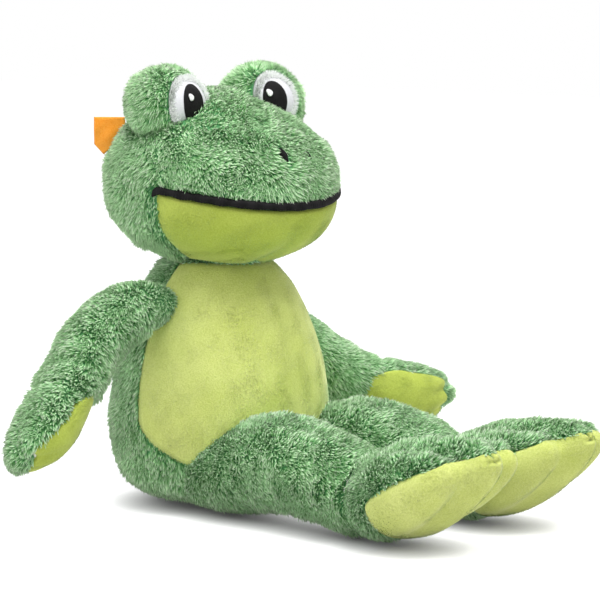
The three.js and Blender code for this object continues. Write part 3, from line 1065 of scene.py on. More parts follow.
# Cloth under the velour's nap, with soft blotches where it is brushed; the paler copy paints light on belly
# and soles, the darker copy paints shade on chin and palms.
LIME_CLOTH = Knit("velour_cloth", "B6C25E", "D3DB86", 0.7, 0.3, 0.7, "F8F5D8")
SHADED_LIME_CLOTH = Knit("velour_cloth_painted_shade", "9EAE40", "BAC85C", 0.7, 0.3, 0.4, "F8F5D8")
# White velour of the eyes, fuzzy only at its rim.
WHITE_PILE = PileFinish("white_velour_pile", "F6F6F8", "FCFCFE", "FFFFFF", "F8F8F8", "FFFFFF", 0.6)
WHITE_CLOTH = Knit("white_velour_cloth", "CECED3", "DADADE", 0.6, 0.2, 0.0)
# Satin stitch: deep black for pupils, nostrils and mouth, and white with a soft gloss for highlights.
BLACK_THREAD = Thread("black_satin_stitch", "060506", "141214", 40, 0.7, 0.2)
WHITE_THREAD = Thread("white_satin_stitch", "E4E4E6", "FAFAFA", 12, 0.45, 0.45)
# Pressed felt of the tab, matt with a fibrous grain.
ORANGE_FELT = Knit("pressed_felt", "EC8A18", "F6A948", 0.5, 0.25, 0.2, "FFE2B0")
# Hidden pieces: loose white fibre, and the woven bag of pellets.
STUFFING = Knit("polyester_fibre_fill", "E4E3DD", "F7F6F2", 2.4, 1.5, 0.3)
CALICO = Knit("calico_pouch", "CFC4AB", "E0D7C2", 0.8, 0.2, 0.1)


# Sub-assemblies


MAP_MARGIN = 0.01
PANEL_EDGE_PARTS = 18
FAR_AWAY = 9.0
WOBBLE_TURNS = (4.4, 1.0)
WOBBLE_SHARE = 0.6


def from_front(angle: Array) -> Array:
    """Size of an angle, from 0 at the front to pi at the back."""
    return np.abs((angle + np.pi) % (2 * np.pi) - np.pi)


def buried(points: Array, forms: Sequence[Form], margin: float) -> Array:
    """Whether each point lies deeper than a margin inside any of the forms."""
    nowhere = np.zeros(points.shape[:-1], bool)
    return np.any([nowhere, *(form.contains(points, margin) for form in forms)], axis=0)


def floor_thinning(points: Array) -> Array:
    """Weight of the pile near the floor, where the toy's own weight presses it."""
    return PRESSED_PILE + (1 - PRESSED_PILE) * smooth(points[..., 2], *FLOOR_BAND)


def fold_line(along: Array, share: float, width: float) -> Array:
    """Depth share of a fold across a limb: the bell curve of the distance from its place."""
    return np.exp(-(((along - share) / width) ** 2))


@dataclass(frozen=True)
class Panel:
    """Velour panel on a form, from one share of its length to another.

    Its half angle is the full one, in degrees, times a share that rises from the point share to 1 as a
    quarter of a sine wave over the rounded part of its length.
    """

    form: Form
    start: float
    end: float
    half_angle: float
    point: float = 1.0
    rounded: float = 0.3
    middle: float = 0.0

    def opening(self, share: Array) -> Array:
        """Half angle in radians at shares of the panel's own length."""
        risen = np.sin(np.pi / 2 * np.clip(share / self.rounded, 0, 1))
        return np.radians(self.half_angle) * (self.point + (1 - self.point) * risen)

    def patch(self, rows: int, columns: int) -> Patch:
        """Patch of the panel, with its rows along the form.

        Args:
            rows: rows along the form.
            columns: columns round it.

        Returns:
            The patch, at the height of the form.
        """
        share = np.linspace(0, 1, rows)[:, None]
        low, high = even_share(self.start), even_share(self.end)
        across = np.linspace(-1, 1, columns)[None]
        angle = self.middle + across * self.opening(share)
        return Patch.of(self.form, ring_share(low + (high - low) * share), angle)

    def covers(self, patch: Patch) -> Array:
        """Whether the points of a patch of the form lie on the panel.

        Args:
            patch: a patch of the same form.

        Returns:
            True for each point on the panel.
        """
        low, high = even_share(self.start), even_share(self.end)
        share = (even_share(np.clip(patch.along, 0, 1)) - low) / (high - low)
        half = self.opening(np.clip(share, 0, 1))
        return (share > 0) & (share < 1) & (from_front(patch.angle - self.middle) < half)


def two_faced(front: Array, back: Array) -> Shell:
    """Closed sheet of a front and a back grid, with one half of the map for each.

    Args:
        front: points of the outer face.
        back: points of the inner face.

    Returns:
        The closed shell.
    """
    low, high = MAP_MARGIN, 1 - MAP_MARGIN
    outer = Shell.of_grid(front).mapped((low, low), (0.5 - MAP_MARGIN, high))
    inner = Shell.of_grid(back, flip=True).mapped((0.5 + MAP_MARGIN, low), (high, high))
    return outer.joined(inner).closed()


def panel_front(patch: Patch, height: float) -> Patch:
    """Front of a velour panel, which rises from its sunken edges to the full height.

    The height at a point is the full height times the sine of a quarter turn times the share of the
    way in from the edge, up to an eighteenth of the grid.

    Args:
        patch: the panel, at the height of the form.
        height: how far its middle stands out.

    Returns:
        The raised patch.
    """
    rows, columns = patch.along.shape
    v = np.minimum(np.arange(rows), np.arange(rows)[::-1])[:, None] / (rows / PANEL_EDGE_PARTS)
    u = np.minimum(np.arange(columns), np.arange(columns)[::-1])[None] / (columns / PANEL_EDGE_PARTS)
    edge = np.sin(np.pi / 2 * np.clip(np.minimum(u, v), 0, 1))
    return patch.lifted(edge * (height + PANEL_SUNK) - PANEL_SUNK)


def disc_turns(rings: int, spokes: int) -> tuple[Array, Array]:
    """Radius column and turn row of a disc's grid."""
    return np.linspace(0, 1, rings)[:, None], np.linspace(0, 2 * np.pi, spokes)[None]


def fill(name: str, finish: Finish) -> None:
    """Hidden CAD node, which keeps its shape and gets a finish."""
    finish.put_on(bpy.data.objects[name])


@dataclass(frozen=True)
class Seat:
    """How the pieces of a sub-assembly are placed: parented to one body, or, where a start is given, left
    in place with their transform baked.
    """

    body: str
    start: Array | None = None
    end: Array | None = None

    def place(self, piece: bpy.types.Object, slot: Slot, finish: Finish, cad_node: str) -> None:
        """The piece gets its finish and its body, or its transform baked, and the CAD node that it stands
        for is hidden.

        Args:
            piece: the finished object.
            slot: not used.
            finish: its fabric or thread.
            cad_node: the node that it stands for.
        """
        finish.put_on(piece)
        if self.start is None:
            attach(piece, self.body)
        else:
            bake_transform(piece)
        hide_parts(cad_node)
        LOG.info("%s: %d faces on %s", piece.name, len(piece.data.polygons), self.body)

    def backing(self, name: str, plush: Patch, fullness_share: float, cad_node: str) -> None:
        """Knitted backing of the green plush: a closed shell of the lifted fabric.

        Args:
            name: name of the piece.
            plush: the fabric, lifted off the form.
            fullness_share: not used.
            cad_node: the node that it stands for.
        """
        piece = mesh_object(name, Shell.of_grid(plush.points).closed())
        self.place(piece, Slot.PLUSH, GREEN_BACKING, cad_node)

    def fur(self, name: str, plush: Patch, weight: Array, comb: Comb, seed: int, cad_node: str) -> None:
        """Undercoat and top coat of the green plush."""
        for coat, pile, later in (("undercoat", UNDERCOAT, 0), ("pile", TOP_COAT, 100)):
            piece = pile.grow(f"{name}_{coat}", plush, weight, comb, seed + later)
            self.place(piece, Slot.PLUSH, GREEN_PILE, cad_node)

    def cloth(self, name: str, panel: Patch, finish: Finish, cad_node: str) -> None:
        """Closed velour panel: its raised front over a sunken back."""
        shell = two_faced(panel_front(panel, CLOTH_HEIGHT).points, panel.raised(-PANEL_SUNK))
        self.place(mesh_object(name, shell), Slot.VELOUR, finish, cad_node)

    def nap(
        self,
        name: str,
        panel: Patch,
        finish: Finish,
        cad_node: str,
        comb: Comb,
        seed: int,
        forms: Sequence[Form] = (),
        margin: float = SEAM_DEPTH,
    ) -> None:
        """Short pile of a velour panel, left out where the panel is buried in other forms.

        Args:
            name: name of the piece.
            panel: the panel.
            finish: its pile.
            cad_node: the node that it stands for.
            comb: direction of the nap.
            seed: number that fixes the random draws.
            forms: forms that may bury it.
            margin: how deep a buried place lies in them.
        """
        lawn = panel_front(panel, NAP_HEIGHT)
        open_cells = 1.0 - buried(lawn.at_cells(lawn.points), forms, margin)
        piece = VELOUR_NAP.grow(name, lawn, open_cells, comb, seed)
        self.place(piece, Slot.VELOUR, finish, cad_node)


@dataclass
class Torso:
    """Pellet-filled body: green back and sides, lime belly."""

    base: float = 4.5
    height: float = 113.0
    half_width: float = 48.0
    front: float = 49.0
    back: float = 42.5
    belly_angle: float = 98.0
    belly_bottom: float = 0.12
    belly_top: float = 0.94
    belly_point: float = 0.5
    crease_depth: float = 1.3
    crease_angle: float = 0.11
    crease_bottom: tuple[float, float] = (38, 60)
    crease_top: tuple[float, float] = (68, 92)
    stuffed: float = 0.75
    grid: tuple[int, int] = (90, 120)
    panel_grid: tuple[int, int] = (80, 110)
    fur_seed: int = 11
    nap_seed: int = 12
    form: RingForm = field(init=False)
    belly: Panel = field(init=False)

    def __post_init__(self) -> None:
        """Backing surface of the torso, and its belly panel."""
        self.form = RingForm(
            base=self.base,
            height=self.height,
            levels=(0, 0.25, 0.5, 0.75, 1),
            widths=(0.9, 1, 0.97, 0.8, 0.56),
            fronts=(0.85, 1, 0.97, 0.78, 0.55),
            backs=(0.84, 1, 0.93, 0.75, 0.55),
            half_width=self.half_width,
            front=self.front,
            back=self.back,
            caps=(12, 5),
        )
        self.belly = Panel(
            self.form, self.belly_bottom, self.belly_top, self.belly_angle, self.belly_point
        )

    def creased_belly(self) -> Patch:
        """Patch of the belly panel, with a soft crease down its middle that fades above and below.

        Returns:
            The patch, at the height of the form.
        """
        belly = self.belly.patch(*self.panel_grid)
        z = belly.points[..., 2]
        crease = self.crease_depth * np.exp(-((belly.angle / self.crease_angle) ** 2))
        return belly.lifted(-crease * smooth(z, *self.crease_bottom) * (1 - smooth(z, *self.crease_top)))

    def build(self, limbs: Sequence[Form], head: Form) -> None:
        """Backing, belly panel and the pile of both.

        Args:
            limbs: forms of arms and legs.
            head: form of the head.
        """
        seat = Seat("torso")
        whole = Patch.whole(self.form, *self.grid)
        on_belly = self.belly.covers(whole)
        plush = whole.lifted(PLUSH_LIFT * whole.clear_of(on_belly))
        seat.backing("back_panel_backing", plush, self.stuffed, "back_panel")
        belly = self.creased_belly()
        seat.cloth("belly_panel_velour", belly, LIME_CLOTH, "belly_panel")
        centres = whole.at_cells(whole.points)
        bare = whole.cells_in(on_belly) | buried(centres, limbs, LIMB_DEPTH)
        bare |= buried(centres, [head], SEAM_DEPTH)
        weight = np.where(bare, 0, floor_thinning(centres))
        ahead, down = toward(0, -0.35, -1), toward(0.2, 0, -1)
        seat.fur("back_panel", plush, weight, ahead, self.fur_seed, "back_panel")
        seat.nap(
            "belly_panel_pile", belly, LIME_PILE, "belly_panel", down, self.nap_seed, (*limbs, head)
        )
        fill("body_stuffing", STUFFING)
        fill("pellet_pouch", CALICO)


@dataclass
class Head:
    """Head with a wide snout, a lime chin and a stitched mouth, turned a little to the frog's right."""

    turn: float = HEAD_TURN
    base: float = 109.0
    height: float = 77.0
    half_width: float = 47.0
    front: float = 59.5
    back: float = 47.0
    smile_drop: float = 8.0
    chin_angle: float = 74.0
    chin_bottom: float = 0.06
    mouth_height: float = 37.0
    mouth_room: float = 1.4
    mouth_out: float = 2.3
    mouth_half_height: float = 1.7
    mouth_half_depth: float = 1.3
    stitch_height: float = 0.12
    mouth_waver: float = 0.14
    mouth_waves: float = 11.0
    mouth_taper: int = 24
    mouth_seed: int = 71
    corner_growth: float = 1.1
    corner_share: float = 0.014
    nostril_spacing: float = 13.7
    nostril_aside: float = 4.0
    nostril_height: float = 156.6
    nostril_half_width: float = 1.9
    nostril_half_height: float = 5.4
    nostril_slant: float = 4.0
    nostril_pinch: float = 0.45
    nostril_lift: float = 0.2
    nostril_dome: float = 6.0
    nostril_grid: tuple[int, int] = (14, 41)
    search_shares: tuple[float, float, int] = (0.45, 0.95, 400)
    search_angles: tuple[float, float, int] = (-0.6, 0.6, 241)
    left_dome_share: float = 0.76
    nostril_clear: float = 1.6
    left_clear_share: float = 0.4
    clear_width_share: float = 1.1
    clear_height_share: float = 1.2
    clear_edge: tuple[float, float] = (0.8, 1.25)
    crown_dip: float = 4.0
    crown_half_width: float = 15.0
    crown_half_depth: float = 24.0
    crown_back: float = 8.0
    crown_band: tuple[float, float] = (170, 184)
    snout_lift: float = 2.0
    snout_front: tuple[float, float] = (18, 42)
    snout_band: tuple[float, float] = (146, 154)
    dart_depth: float = 1.5
    dart_angle: float = 0.13
    dart_band: tuple[float, float] = (114, 134)
    short_pile: float = 0.3
    mouth_band: tuple[float, float] = (0.3, 4.0)
    mouth_beyond: float = 3.0
    cheek_band: float = 8.0
    eye_pile: float = 0.6
    eye_band: tuple[float, float] = (0.95, 1.12)
    nap_band: tuple[float, float] = (-25, 30)
    nap_top: tuple[float, float] = (156, 176)
    nap_down: float = 0.8
    nap_back: float = 0.35
    nap_ahead: float = 0.9
    nap_top_ahead: float = 1.1
    stuffed: float = 0.9
    grid: tuple[int, int] = (100, 130)
    panel_grid: tuple[int, int] = (60, 120)
    fur_seed: int = 21
    nap_seed: int = 22
    form: RingForm = field(init=False)

    def __post_init__(self) -> None:
        """Backing surface of the head."""
        self.form = RingForm(
            base=self.base,
            height=self.height,
            levels=(0, 0.25, 0.5, 0.75, 1),
            widths=(0.78, 0.98, 1, 0.88, 0.6),
            fronts=(0.7, 0.93, 1, 0.82, 0.4),
            backs=(0.6, 0.92, 1, 0.95, 0.7),
            half_width=self.half_width,
            front=self.front,
            back=self.back,
            caps=(3, 3),
            drop=self.smile_drop,
            turn=self.turn,
        )

    @property
    def mouth_share(self) -> float:
        """Share of the head's height at which the mouth lies."""
        return self.mouth_height / self.height

    def chin_patch(self) -> Patch:
        """Patch of the chin panel, from the neck up to the mouth, drawn in by a dart at the neck.

        Returns:
            The patch, at the height of the form.
        """
        top = self.mouth_share - self.mouth_room / self.height
        chin = Panel(self.form, self.chin_bottom, top, self.chin_angle).patch(*self.panel_grid)
        fading = 1 - smooth(chin.points[..., 2], *self.dart_band)
        dart = np.exp(-((chin.angle / self.dart_angle) ** 2)) * fading
        return chin.lifted(-self.dart_depth * dart)

    def on_chin(self, patch: Patch) -> Array:
        """Whether the points of a patch of the head lie on the chin panel or the mouth.

        Args:
            patch: a patch of the head.

        Returns:
            True for each point that lies there.
        """
        top = self.mouth_share + self.mouth_room / self.height
        level = (patch.along > self.chin_bottom) & (patch.along < top)
        return level & (from_front(patch.angle) < math.radians(self.chin_angle))

    def mouth_shell(self) -> Shell:
        """Satin-stitched band along the mouth: an ellipse carried along the seam.

        The ellipse shrinks to a point at both corners of the mouth, and each stitch stands out of it as
        half a sine wave.

        Returns:
            The closed band.
        """
        steps, around, stitches = 420, 14, 105
        share = np.linspace(0, 1, steps + 1)
        angle = np.radians(self.chin_angle) * (2 * share - 1)
        line = Patch.of(self.form, np.full_like(angle, self.mouth_share), angle)
        taper = np.sqrt(np.clip(1 - np.abs(2 * share - 1) ** self.mouth_taper, 0, 1))[:, None]
        stitch = 1 + self.stitch_height * np.abs(np.sin(np.pi * stitches * share))[:, None]
        turn = np.linspace(0, 2 * np.pi, around + 1)[None]
        tangent = unit(np.gradient(line.points, axis=0))
        upright = unit(np.cross(tangent, line.normals))
        upright = upright * np.sign(dot(upright, UP))
        corner = np.exp(-((np.minimum(share, 1 - share) / self.corner_share) ** 2))[:, None]
        uneven = 1 + self.mouth_waver * ripple(line.points, self.mouth_waves, self.mouth_seed)[:, :1]
        half_height = self.mouth_half_height * (uneven + self.corner_growth * corner)
        high = (taper * stitch * half_height * np.cos(turn))[..., None]
        deep = (taper * stitch * self.mouth_half_depth * np.sin(turn))[..., None]
        drop = upright * self.mouth_half_height * self.corner_growth * corner
        middle = (line.raised(self.mouth_out) - drop)[:, None]
        return Shell.of_grid(middle + upright[:, None] * high + line.normals[:, None] * deep).closed()

    def nostril_place(self, side: Side) -> tuple[float, float]:
        """Share and angle of the head's form at the middle of a nostril, found on a fine grid.

        Args:
            side: right or left.

        Returns:
            The share and the angle.
        """
        x = self.nostril_aside + side.value * self.nostril_spacing / 2
        share = np.linspace(*self.search_shares)
        angle = np.linspace(*self.search_angles)
        places = turned_about_z(self.form.at(share[:, None], angle[None]), -self.turn)
        miss = (places[..., 0] - x) ** 2 + (places[..., 2] - self.nostril_height) ** 2
        row, column = np.unravel_index(miss.argmin(), miss.shape)
        return share[row], angle[column]

    def nostril_frame(self, side: Side) -> tuple[Array, Array, Array, Array]:
        """Middle of a nostril on the backing, its long way up, its short way and the normal.

        Args:
            side: right or left.

        Returns:
            A place and three unit vectors.
        """
        share, angle = self.nostril_place(side)
        spot = Patch.of(self.form, np.array([share]), np.array([angle]))
        normal = spot.normals[0]
        sideways = unit(np.cross(UP, normal))
        upright = np.cross(normal, sideways)
        slant = -side.value * math.radians(self.nostril_slant)
        long_way = upright * math.cos(slant) - sideways * math.sin(slant)
        return spot.points[0], long_way, np.cross(long_way, normal), normal

    def nostril_shell(self, side: Side) -> Shell:
        """Narrow stitched lens: an ellipse on the backing, domed by the root of its edge distance.

        Args:
            side: right or left.

        Returns:
            The closed lens.
        """
        middle, long_way, short_way, normal = self.nostril_frame(side)
        radius, turn = disc_turns(*self.nostril_grid)
        pinched = 1 - self.nostril_pinch * np.abs(np.sin(turn))
        wide = self.nostril_half_width * radius * np.cos(turn) * pinched
        tall = self.nostril_half_height * radius * np.sin(turn)
        height = self.nostril_dome * (1 if side is Side.RIGHT else self.left_dome_share)
        dome = height * np.sqrt(np.clip(1 - radius**4, 0, 1)) + 0 * turn
        plane = middle + normal * self.nostril_lift
        plane = plane + wide[..., None] * short_way + tall[..., None] * long_way
        front = Shell.of_grid(plane + dome[..., None] * normal)
        return front.joined(Shell.of_grid(plane, flip=True)).closed()

    def nostril_clearing(self, side: Side, points: Array) -> Array:
        """Share of the pile left round a nostril: 0 on it and on the side that the nap comes from.

        Args:
            side: right or left.
            points: places, in millimetres.

        Returns:
            One share for each place.
        """
        middle, long_way, short_way, normal = self.nostril_frame(side)
        size = 1 if side is Side.RIGHT else self.left_clear_share
        nap = self.nap(middle[None], normal[None])[0]
        nap = unit(nap - (nap @ normal) * normal)
        aside = points - middle + self.nostril_clear * nap
        up = dot(aside, long_way)[..., 0] / (self.clear_height_share * self.nostril_half_height)
        across = dot(aside, short_way)[..., 0] / (self.clear_width_share * self.nostril_half_width)
        return smooth(np.hypot(up, across) / size, *self.clear_edge)

    def pile_room(self, whole: Patch, eyes: Sequence["Eye"]) -> Array:
        """Weight of the pile that keeps nostrils, eyes, mouth and chin in sight.

        Args:
            whole: the backing.
            eyes: both eyes.

        Returns:
            One weight for each cell.
        """
        centres = whole.at_cells(whole.points)
        room = np.ones(centres.shape[:2])
        for side in Side:
            room *= self.nostril_clearing(side, centres)
        for eye in eyes:
            outside = smooth(eye.white_distance(centres), *self.eye_band)
            room *= outside * (1 - self.eye_pile) + self.eye_pile
        long_pile = 1 - self.short_pile
        above = (whole.at_cells(whole.along) - self.mouth_share) * self.height - self.mouth_room
        turned = from_front(whole.at_cells(whole.angle))
        over_mouth = (above > 0) & (turned < math.radians(self.chin_angle + self.mouth_beyond))
        rising = self.short_pile + long_pile * smooth(above, *self.mouth_band)
        room *= np.where(over_mouth, rising, 1)
        behind = smooth(np.degrees(turned), self.chin_angle, self.chin_angle + self.cheek_band)
        return room * np.where(above < 0, self.short_pile + long_pile * behind, 1)

    def build(self, eyes: Sequence["Eye"], torso: Form) -> None:
        """Backing, chin panel, mouth, nostrils and the pile of both fabrics.

        Args:
            eyes: both eyes.
            torso: the body's form.
        """
        seat = Seat("head")
        whole = Patch.whole(self.form, *self.grid)
        on_chin = self.on_chin(whole)
        lift = (PLUSH_LIFT + self.snout(whole.points)) * whole.clear_of(on_chin)
        plush = whole.lifted(np.maximum(lift - self.crown_dip * self.crown(whole.points), 0))
        seat.backing("head_backing", plush, self.stuffed, "head_fur_shell")
        chin = self.chin_patch()
        # The chin takes the darker velour copy: painted shade under the jaw.
        seat.cloth("chin_panel_velour", chin, SHADED_LIME_CLOTH, "chin_panel")
        mouth = mesh_object("mouth_stitching", self.mouth_shell())
        seat.place(mouth, Slot.BLACK, BLACK_THREAD, "mouth_line")
        for side in Side:
            stitched = mesh_object(f"nostril_stitching_{side.label}", self.nostril_shell(side))
            seat.place(stitched, Slot.BLACK, BLACK_THREAD, f"nostril_{side.label}")
        centres = whole.at_cells(whole.points)
        bare = whole.cells_in(on_chin) | buried(centres, [torso], NECK_DEPTH)
        bare |= buried(centres, [eye.bump for eye in eyes], EYE_DEPTH)
        weight = np.where(bare, 0, self.pile_room(whole, eyes))
        seat.fur("head", plush, weight, self.nap, self.fur_seed, "head_fur_shell")
        seat.nap(
            "chin_panel_pile",
            chin,
            SHADED_LIME_PILE,
            "chin_panel",
            toward(0, -0.2, -1),
            self.nap_seed,
            [torso],
            NECK_DEPTH,
        )
        fill("head_stuffing", STUFFING)

    def crown(self, points: Array) -> Array:
        """Share of the dip in the crown between the eyes.

        Args:
            points: places, in millimetres.

        Returns:
            One share for each place.
        """
        local = turned_about_z(points, -self.turn)
        back = (local[..., 1] - self.crown_back) / self.crown_half_depth
        spread = (local[..., 0] / self.crown_half_width) ** 2 + back**2
        return np.exp(-spread) * smooth(local[..., 2], *self.crown_band)

    def snout(self, points: Array) -> Array:
        """Extra thickness of the stuffing over the snout, fullest at its front.

        Args:
            points: places, in millimetres.

        Returns:
            Millimetres for each place.
        """
        local = turned_about_z(points, -self.turn)
        ahead = self.snout_lift * smooth(-local[..., 1], *self.snout_front)
        return ahead * smooth(local[..., 2], *self.snout_band)

    def nap(self, points: Array, normals: Array) -> Array:
        """Nap of the head: ahead and down over crown and snout, and down and back behind the cheeks.

        Args:
            points: places, in millimetres.
            normals: unit normals of the fabric there.

        Returns:
            One unit vector for each place.
        """
        ahead = turned_about_z(FRONT, self.turn)
        share = smooth(-points[:, 1:2], *self.nap_band)
        top = smooth(points[:, 2:], *self.nap_top)
        below = (self.nap_ahead * share - self.nap_back) * (1 - top)
        return unit((below + self.nap_top_ahead * top) * ahead - self.nap_down * UP)


@dataclass
class Eye:
    """Stuffed bump on the head with a white patch, a stitched pupil and a stitched highlight."""

    side: Side
    turn: float = HEAD_TURN
    spacing: float = 51.5
    setback: float = 1.0
    level: float = 180.0
    half_width: float = 16.5
    half_depth: float = 16.0
    half_height: float = 15.0
    white_inward: float = 2.8
    white_up: float = 1.6
    white_half_width: float = 11.8
    white_half_height: float = 12.0
    white_base: float = 0.05
    white_thickness: float = 1.2
    white_rim: tuple[float, float] = (0.74, 0.92)
    nap_base: float = 1.15
    pupil_inward: float = 3.0
    pupil_half_width: float = 5.8
    pupil_half_height: float = 8.6
    pupil_point: float = 0.14
    pupil_fullness: float = 0.88
    pupil_base: float = 1.3
    pupil_thickness: float = 0.9
    highlight_aside: float = 2.3
    highlight_up: float = 2.9
    highlight_radius: float = 1.4
    highlight_wobble: float = 0.13
    highlight_base: float = 2.2
    highlight_thickness: float = 0.7
    disc_grid: tuple[int, int] = (26, 97)
    front_depth: float = 2.0
    plush_edge: tuple[float, float] = (1.0, 1.15)
    pile_edge: tuple[float, float] = (1.0, 1.2)
    edge_pile: float = 0.6
    stuffed: float = 0.9
    grid: tuple[int, int] = (60, 90)
    nap_seed: int = 31
    fur_seed: int = 33
    bump: BallForm = field(init=False)

    def __post_init__(self) -> None:
        """Backing surface of the bump."""
        centre = np.array([self.side.value * self.spacing / 2, self.setback, self.level])
        half = np.array([self.half_width, self.half_depth, self.half_height])
        self.bump = BallForm(centre, half, self.turn)

    def dome(self, x: Array, z: Array, distance: float) -> Array:
        """Points at x and z on the front of the bump, moved out by a distance.

        y is the middle less the half depth times the root of 1 less the squares of the two other shares.

        Args:
            x: places to the side.
            z: heights.
            distance: how far off the bump they lie.

        Returns:
            Points of the surface.
        """
        local_x = (x - self.bump.centre[0]) / (self.half_width + distance)
        local_z = (z - self.bump.centre[2]) / (self.half_height + distance)
        root = np.sqrt(np.clip(1 - local_x**2 - local_z**2, 0, 1))
        y = self.setback - (self.half_depth + distance) * root
        return turned_about_z(np.stack([x, y, z], -1), self.turn)

    def disc(
        self,
        inward: float,
        up: float,
        wide: float,
        tall: float,
        point: float = 0.0,
        full: float = 1.0,
        wobble: float = 0.0,
    ) -> tuple[Array, Array]:
        """Rings of an oval on the front of the bump.

        Args:
            inward: how far its middle lies from the bump's, towards the other eye.
            up: how far its middle lies above the bump's.
            wide: half width.
            tall: half height.
            point: share by which its top is drawn in.
            full: power of the sine and cosine, below 1 for fuller corners.
            wobble: share by which two and three waves round it change its radius.

        Returns:
            x and z of the grid, with its middle in the first row.
        """
        radius, turn = disc_turns(*self.disc_grid)
        cos, sin = (np.sign(v) * np.abs(v) ** full for v in (np.cos(turn), np.sin(turn)))
        twice, thrice = 2 * turn + WOBBLE_TURNS[0], 3 * turn + WOBBLE_TURNS[1]
        uneven = 1 + wobble * (np.sin(twice) + WOBBLE_SHARE * np.sin(thrice))
        narrow = 1 - point * np.clip(sin, 0, 1) ** 2
        x = self.bump.centre[0] - self.side.value * inward + wide * radius * cos * narrow * uneven
        z = self.level + up + tall * radius * sin * uneven
        return x, z

    def raised_disc(self, x: Array, z: Array, base: float, height: float) -> Shell:
        """Closed disc whose front is higher than its edge by the height times a rounded profile.

        Args:
            x: places to the side.
            z: heights.
            base: height of its edge over the bump.
            height: rise of its middle.

        Returns:
            The closed disc.
        """
        radius = np.linspace(0, 1, x.shape[0])[:, None]
        profile = np.sqrt(np.clip(1 - radius**6, 0, 1)) + 0 * x
        back = self.dome(x, z, base)
        outward = unit(self.dome(x, z, base + 1) - back)
        return two_faced(back + outward * (height * profile)[..., None], back)

    def white_distance(self, points: Array) -> Array:
        """Place in the white patch: 0 at its middle and 1 at its edge, and far away behind the eye.

        Args:
            points: places, in millimetres.

        Returns:
            One distance for each place.
        """
        local = turned_about_z(points, -self.turn)
        aside = local[..., 0] - self.bump.centre[0] + self.side.value * self.white_inward
        z = (local[..., 2] - self.level - self.white_up) / self.white_half_height
        behind = local[..., 1] > self.setback - self.front_depth
        return np.hypot(aside / self.white_half_width, z) + np.where(behind, FAR_AWAY, 0)

    def build(self, head: Form) -> None:
        """Bump backing, white, pupil, highlight and their pile.

        Args:
            head: the head's form.
        """
        seat, name = Seat("head"), self.side.label
        whole = Patch.whole(self.bump, *self.grid)
        plush = whole.lifted(PLUSH_LIFT * smooth(self.white_distance(whole.points), *self.plush_edge))
        seat.backing(f"eye_bump_backing_{name}", plush, self.stuffed, f"eye_bump_{name}")
        x, z = self.disc(self.white_inward, self.white_up, self.white_half_width, self.white_half_height)
        white = self.raised_disc(x, z, self.white_base, self.white_thickness)
        white = mesh_object(f"eye_white_velour_{name}", white)
        seat.place(white, Slot.WHITE, WHITE_CLOTH, f"eye_white_{name}")
        grid = self.dome(x, z, self.nap_base)
        lawn = Patch(x, z, grid, unit(self.dome(x, z, self.nap_base + 1) - grid))
        rim = smooth(self.white_distance(lawn.at_cells(lawn.points)), *self.white_rim)
        middle = self.dome(x[0, 0], z[0, 0], 1.0)

        def outwards(points: Array, normals: Array) -> Array:
            """Nap from the middle of the eye towards its rim."""
            return unit(points - middle)

        nap = EYE_NAP.grow(f"eye_white_pile_{name}", lawn, rim, outwards, self.nap_seed)
        seat.place(nap, Slot.WHITE, WHITE_PILE, f"eye_white_{name}")
        x, z = self.disc(
            self.pupil_inward,
            self.white_up,
            self.pupil_half_width,
            self.pupil_half_height,
            self.pupil_point,
            self.pupil_fullness,
        )
        pupil = self.raised_disc(x, z, self.pupil_base, self.pupil_thickness)
        pupil = mesh_object(f"pupil_stitching_{name}", pupil)
        seat.place(pupil, Slot.BLACK, BLACK_THREAD, f"pupil_{name}")
        inward = self.pupil_inward + self.side.value * self.highlight_aside
        radius = self.highlight_radius
        up = self.white_up + self.highlight_up
        x, z = self.disc(inward, up, radius, radius, wobble=self.highlight_wobble)
        spot = self.raised_disc(x, z, self.highlight_base, self.highlight_thickness)
        spot = mesh_object(f"highlight_stitching_{name}", spot)
        seat.place(spot, Slot.WHITE, WHITE_THREAD, f"eye_highlight_{name}")
        centres = whole.at_cells(whole.points)
        edge = self.white_distance(centres)
        bare = (edge < 1) | buried(centres, [head], SEAM_DEPTH)
        rising = self.edge_pile + (1 - self.edge_pile) * smooth(edge, *self.pile_edge)
        weight, seed = np.where(bare, 0, rising), self.fur_seed + self.side.value
        seat.fur(f"eye_bump_{name}", plush, weight, toward(0, 0.5, -1), seed, f"eye_bump_{name}")
        fill(f"eye_stuffing_{name}", STUFFING)


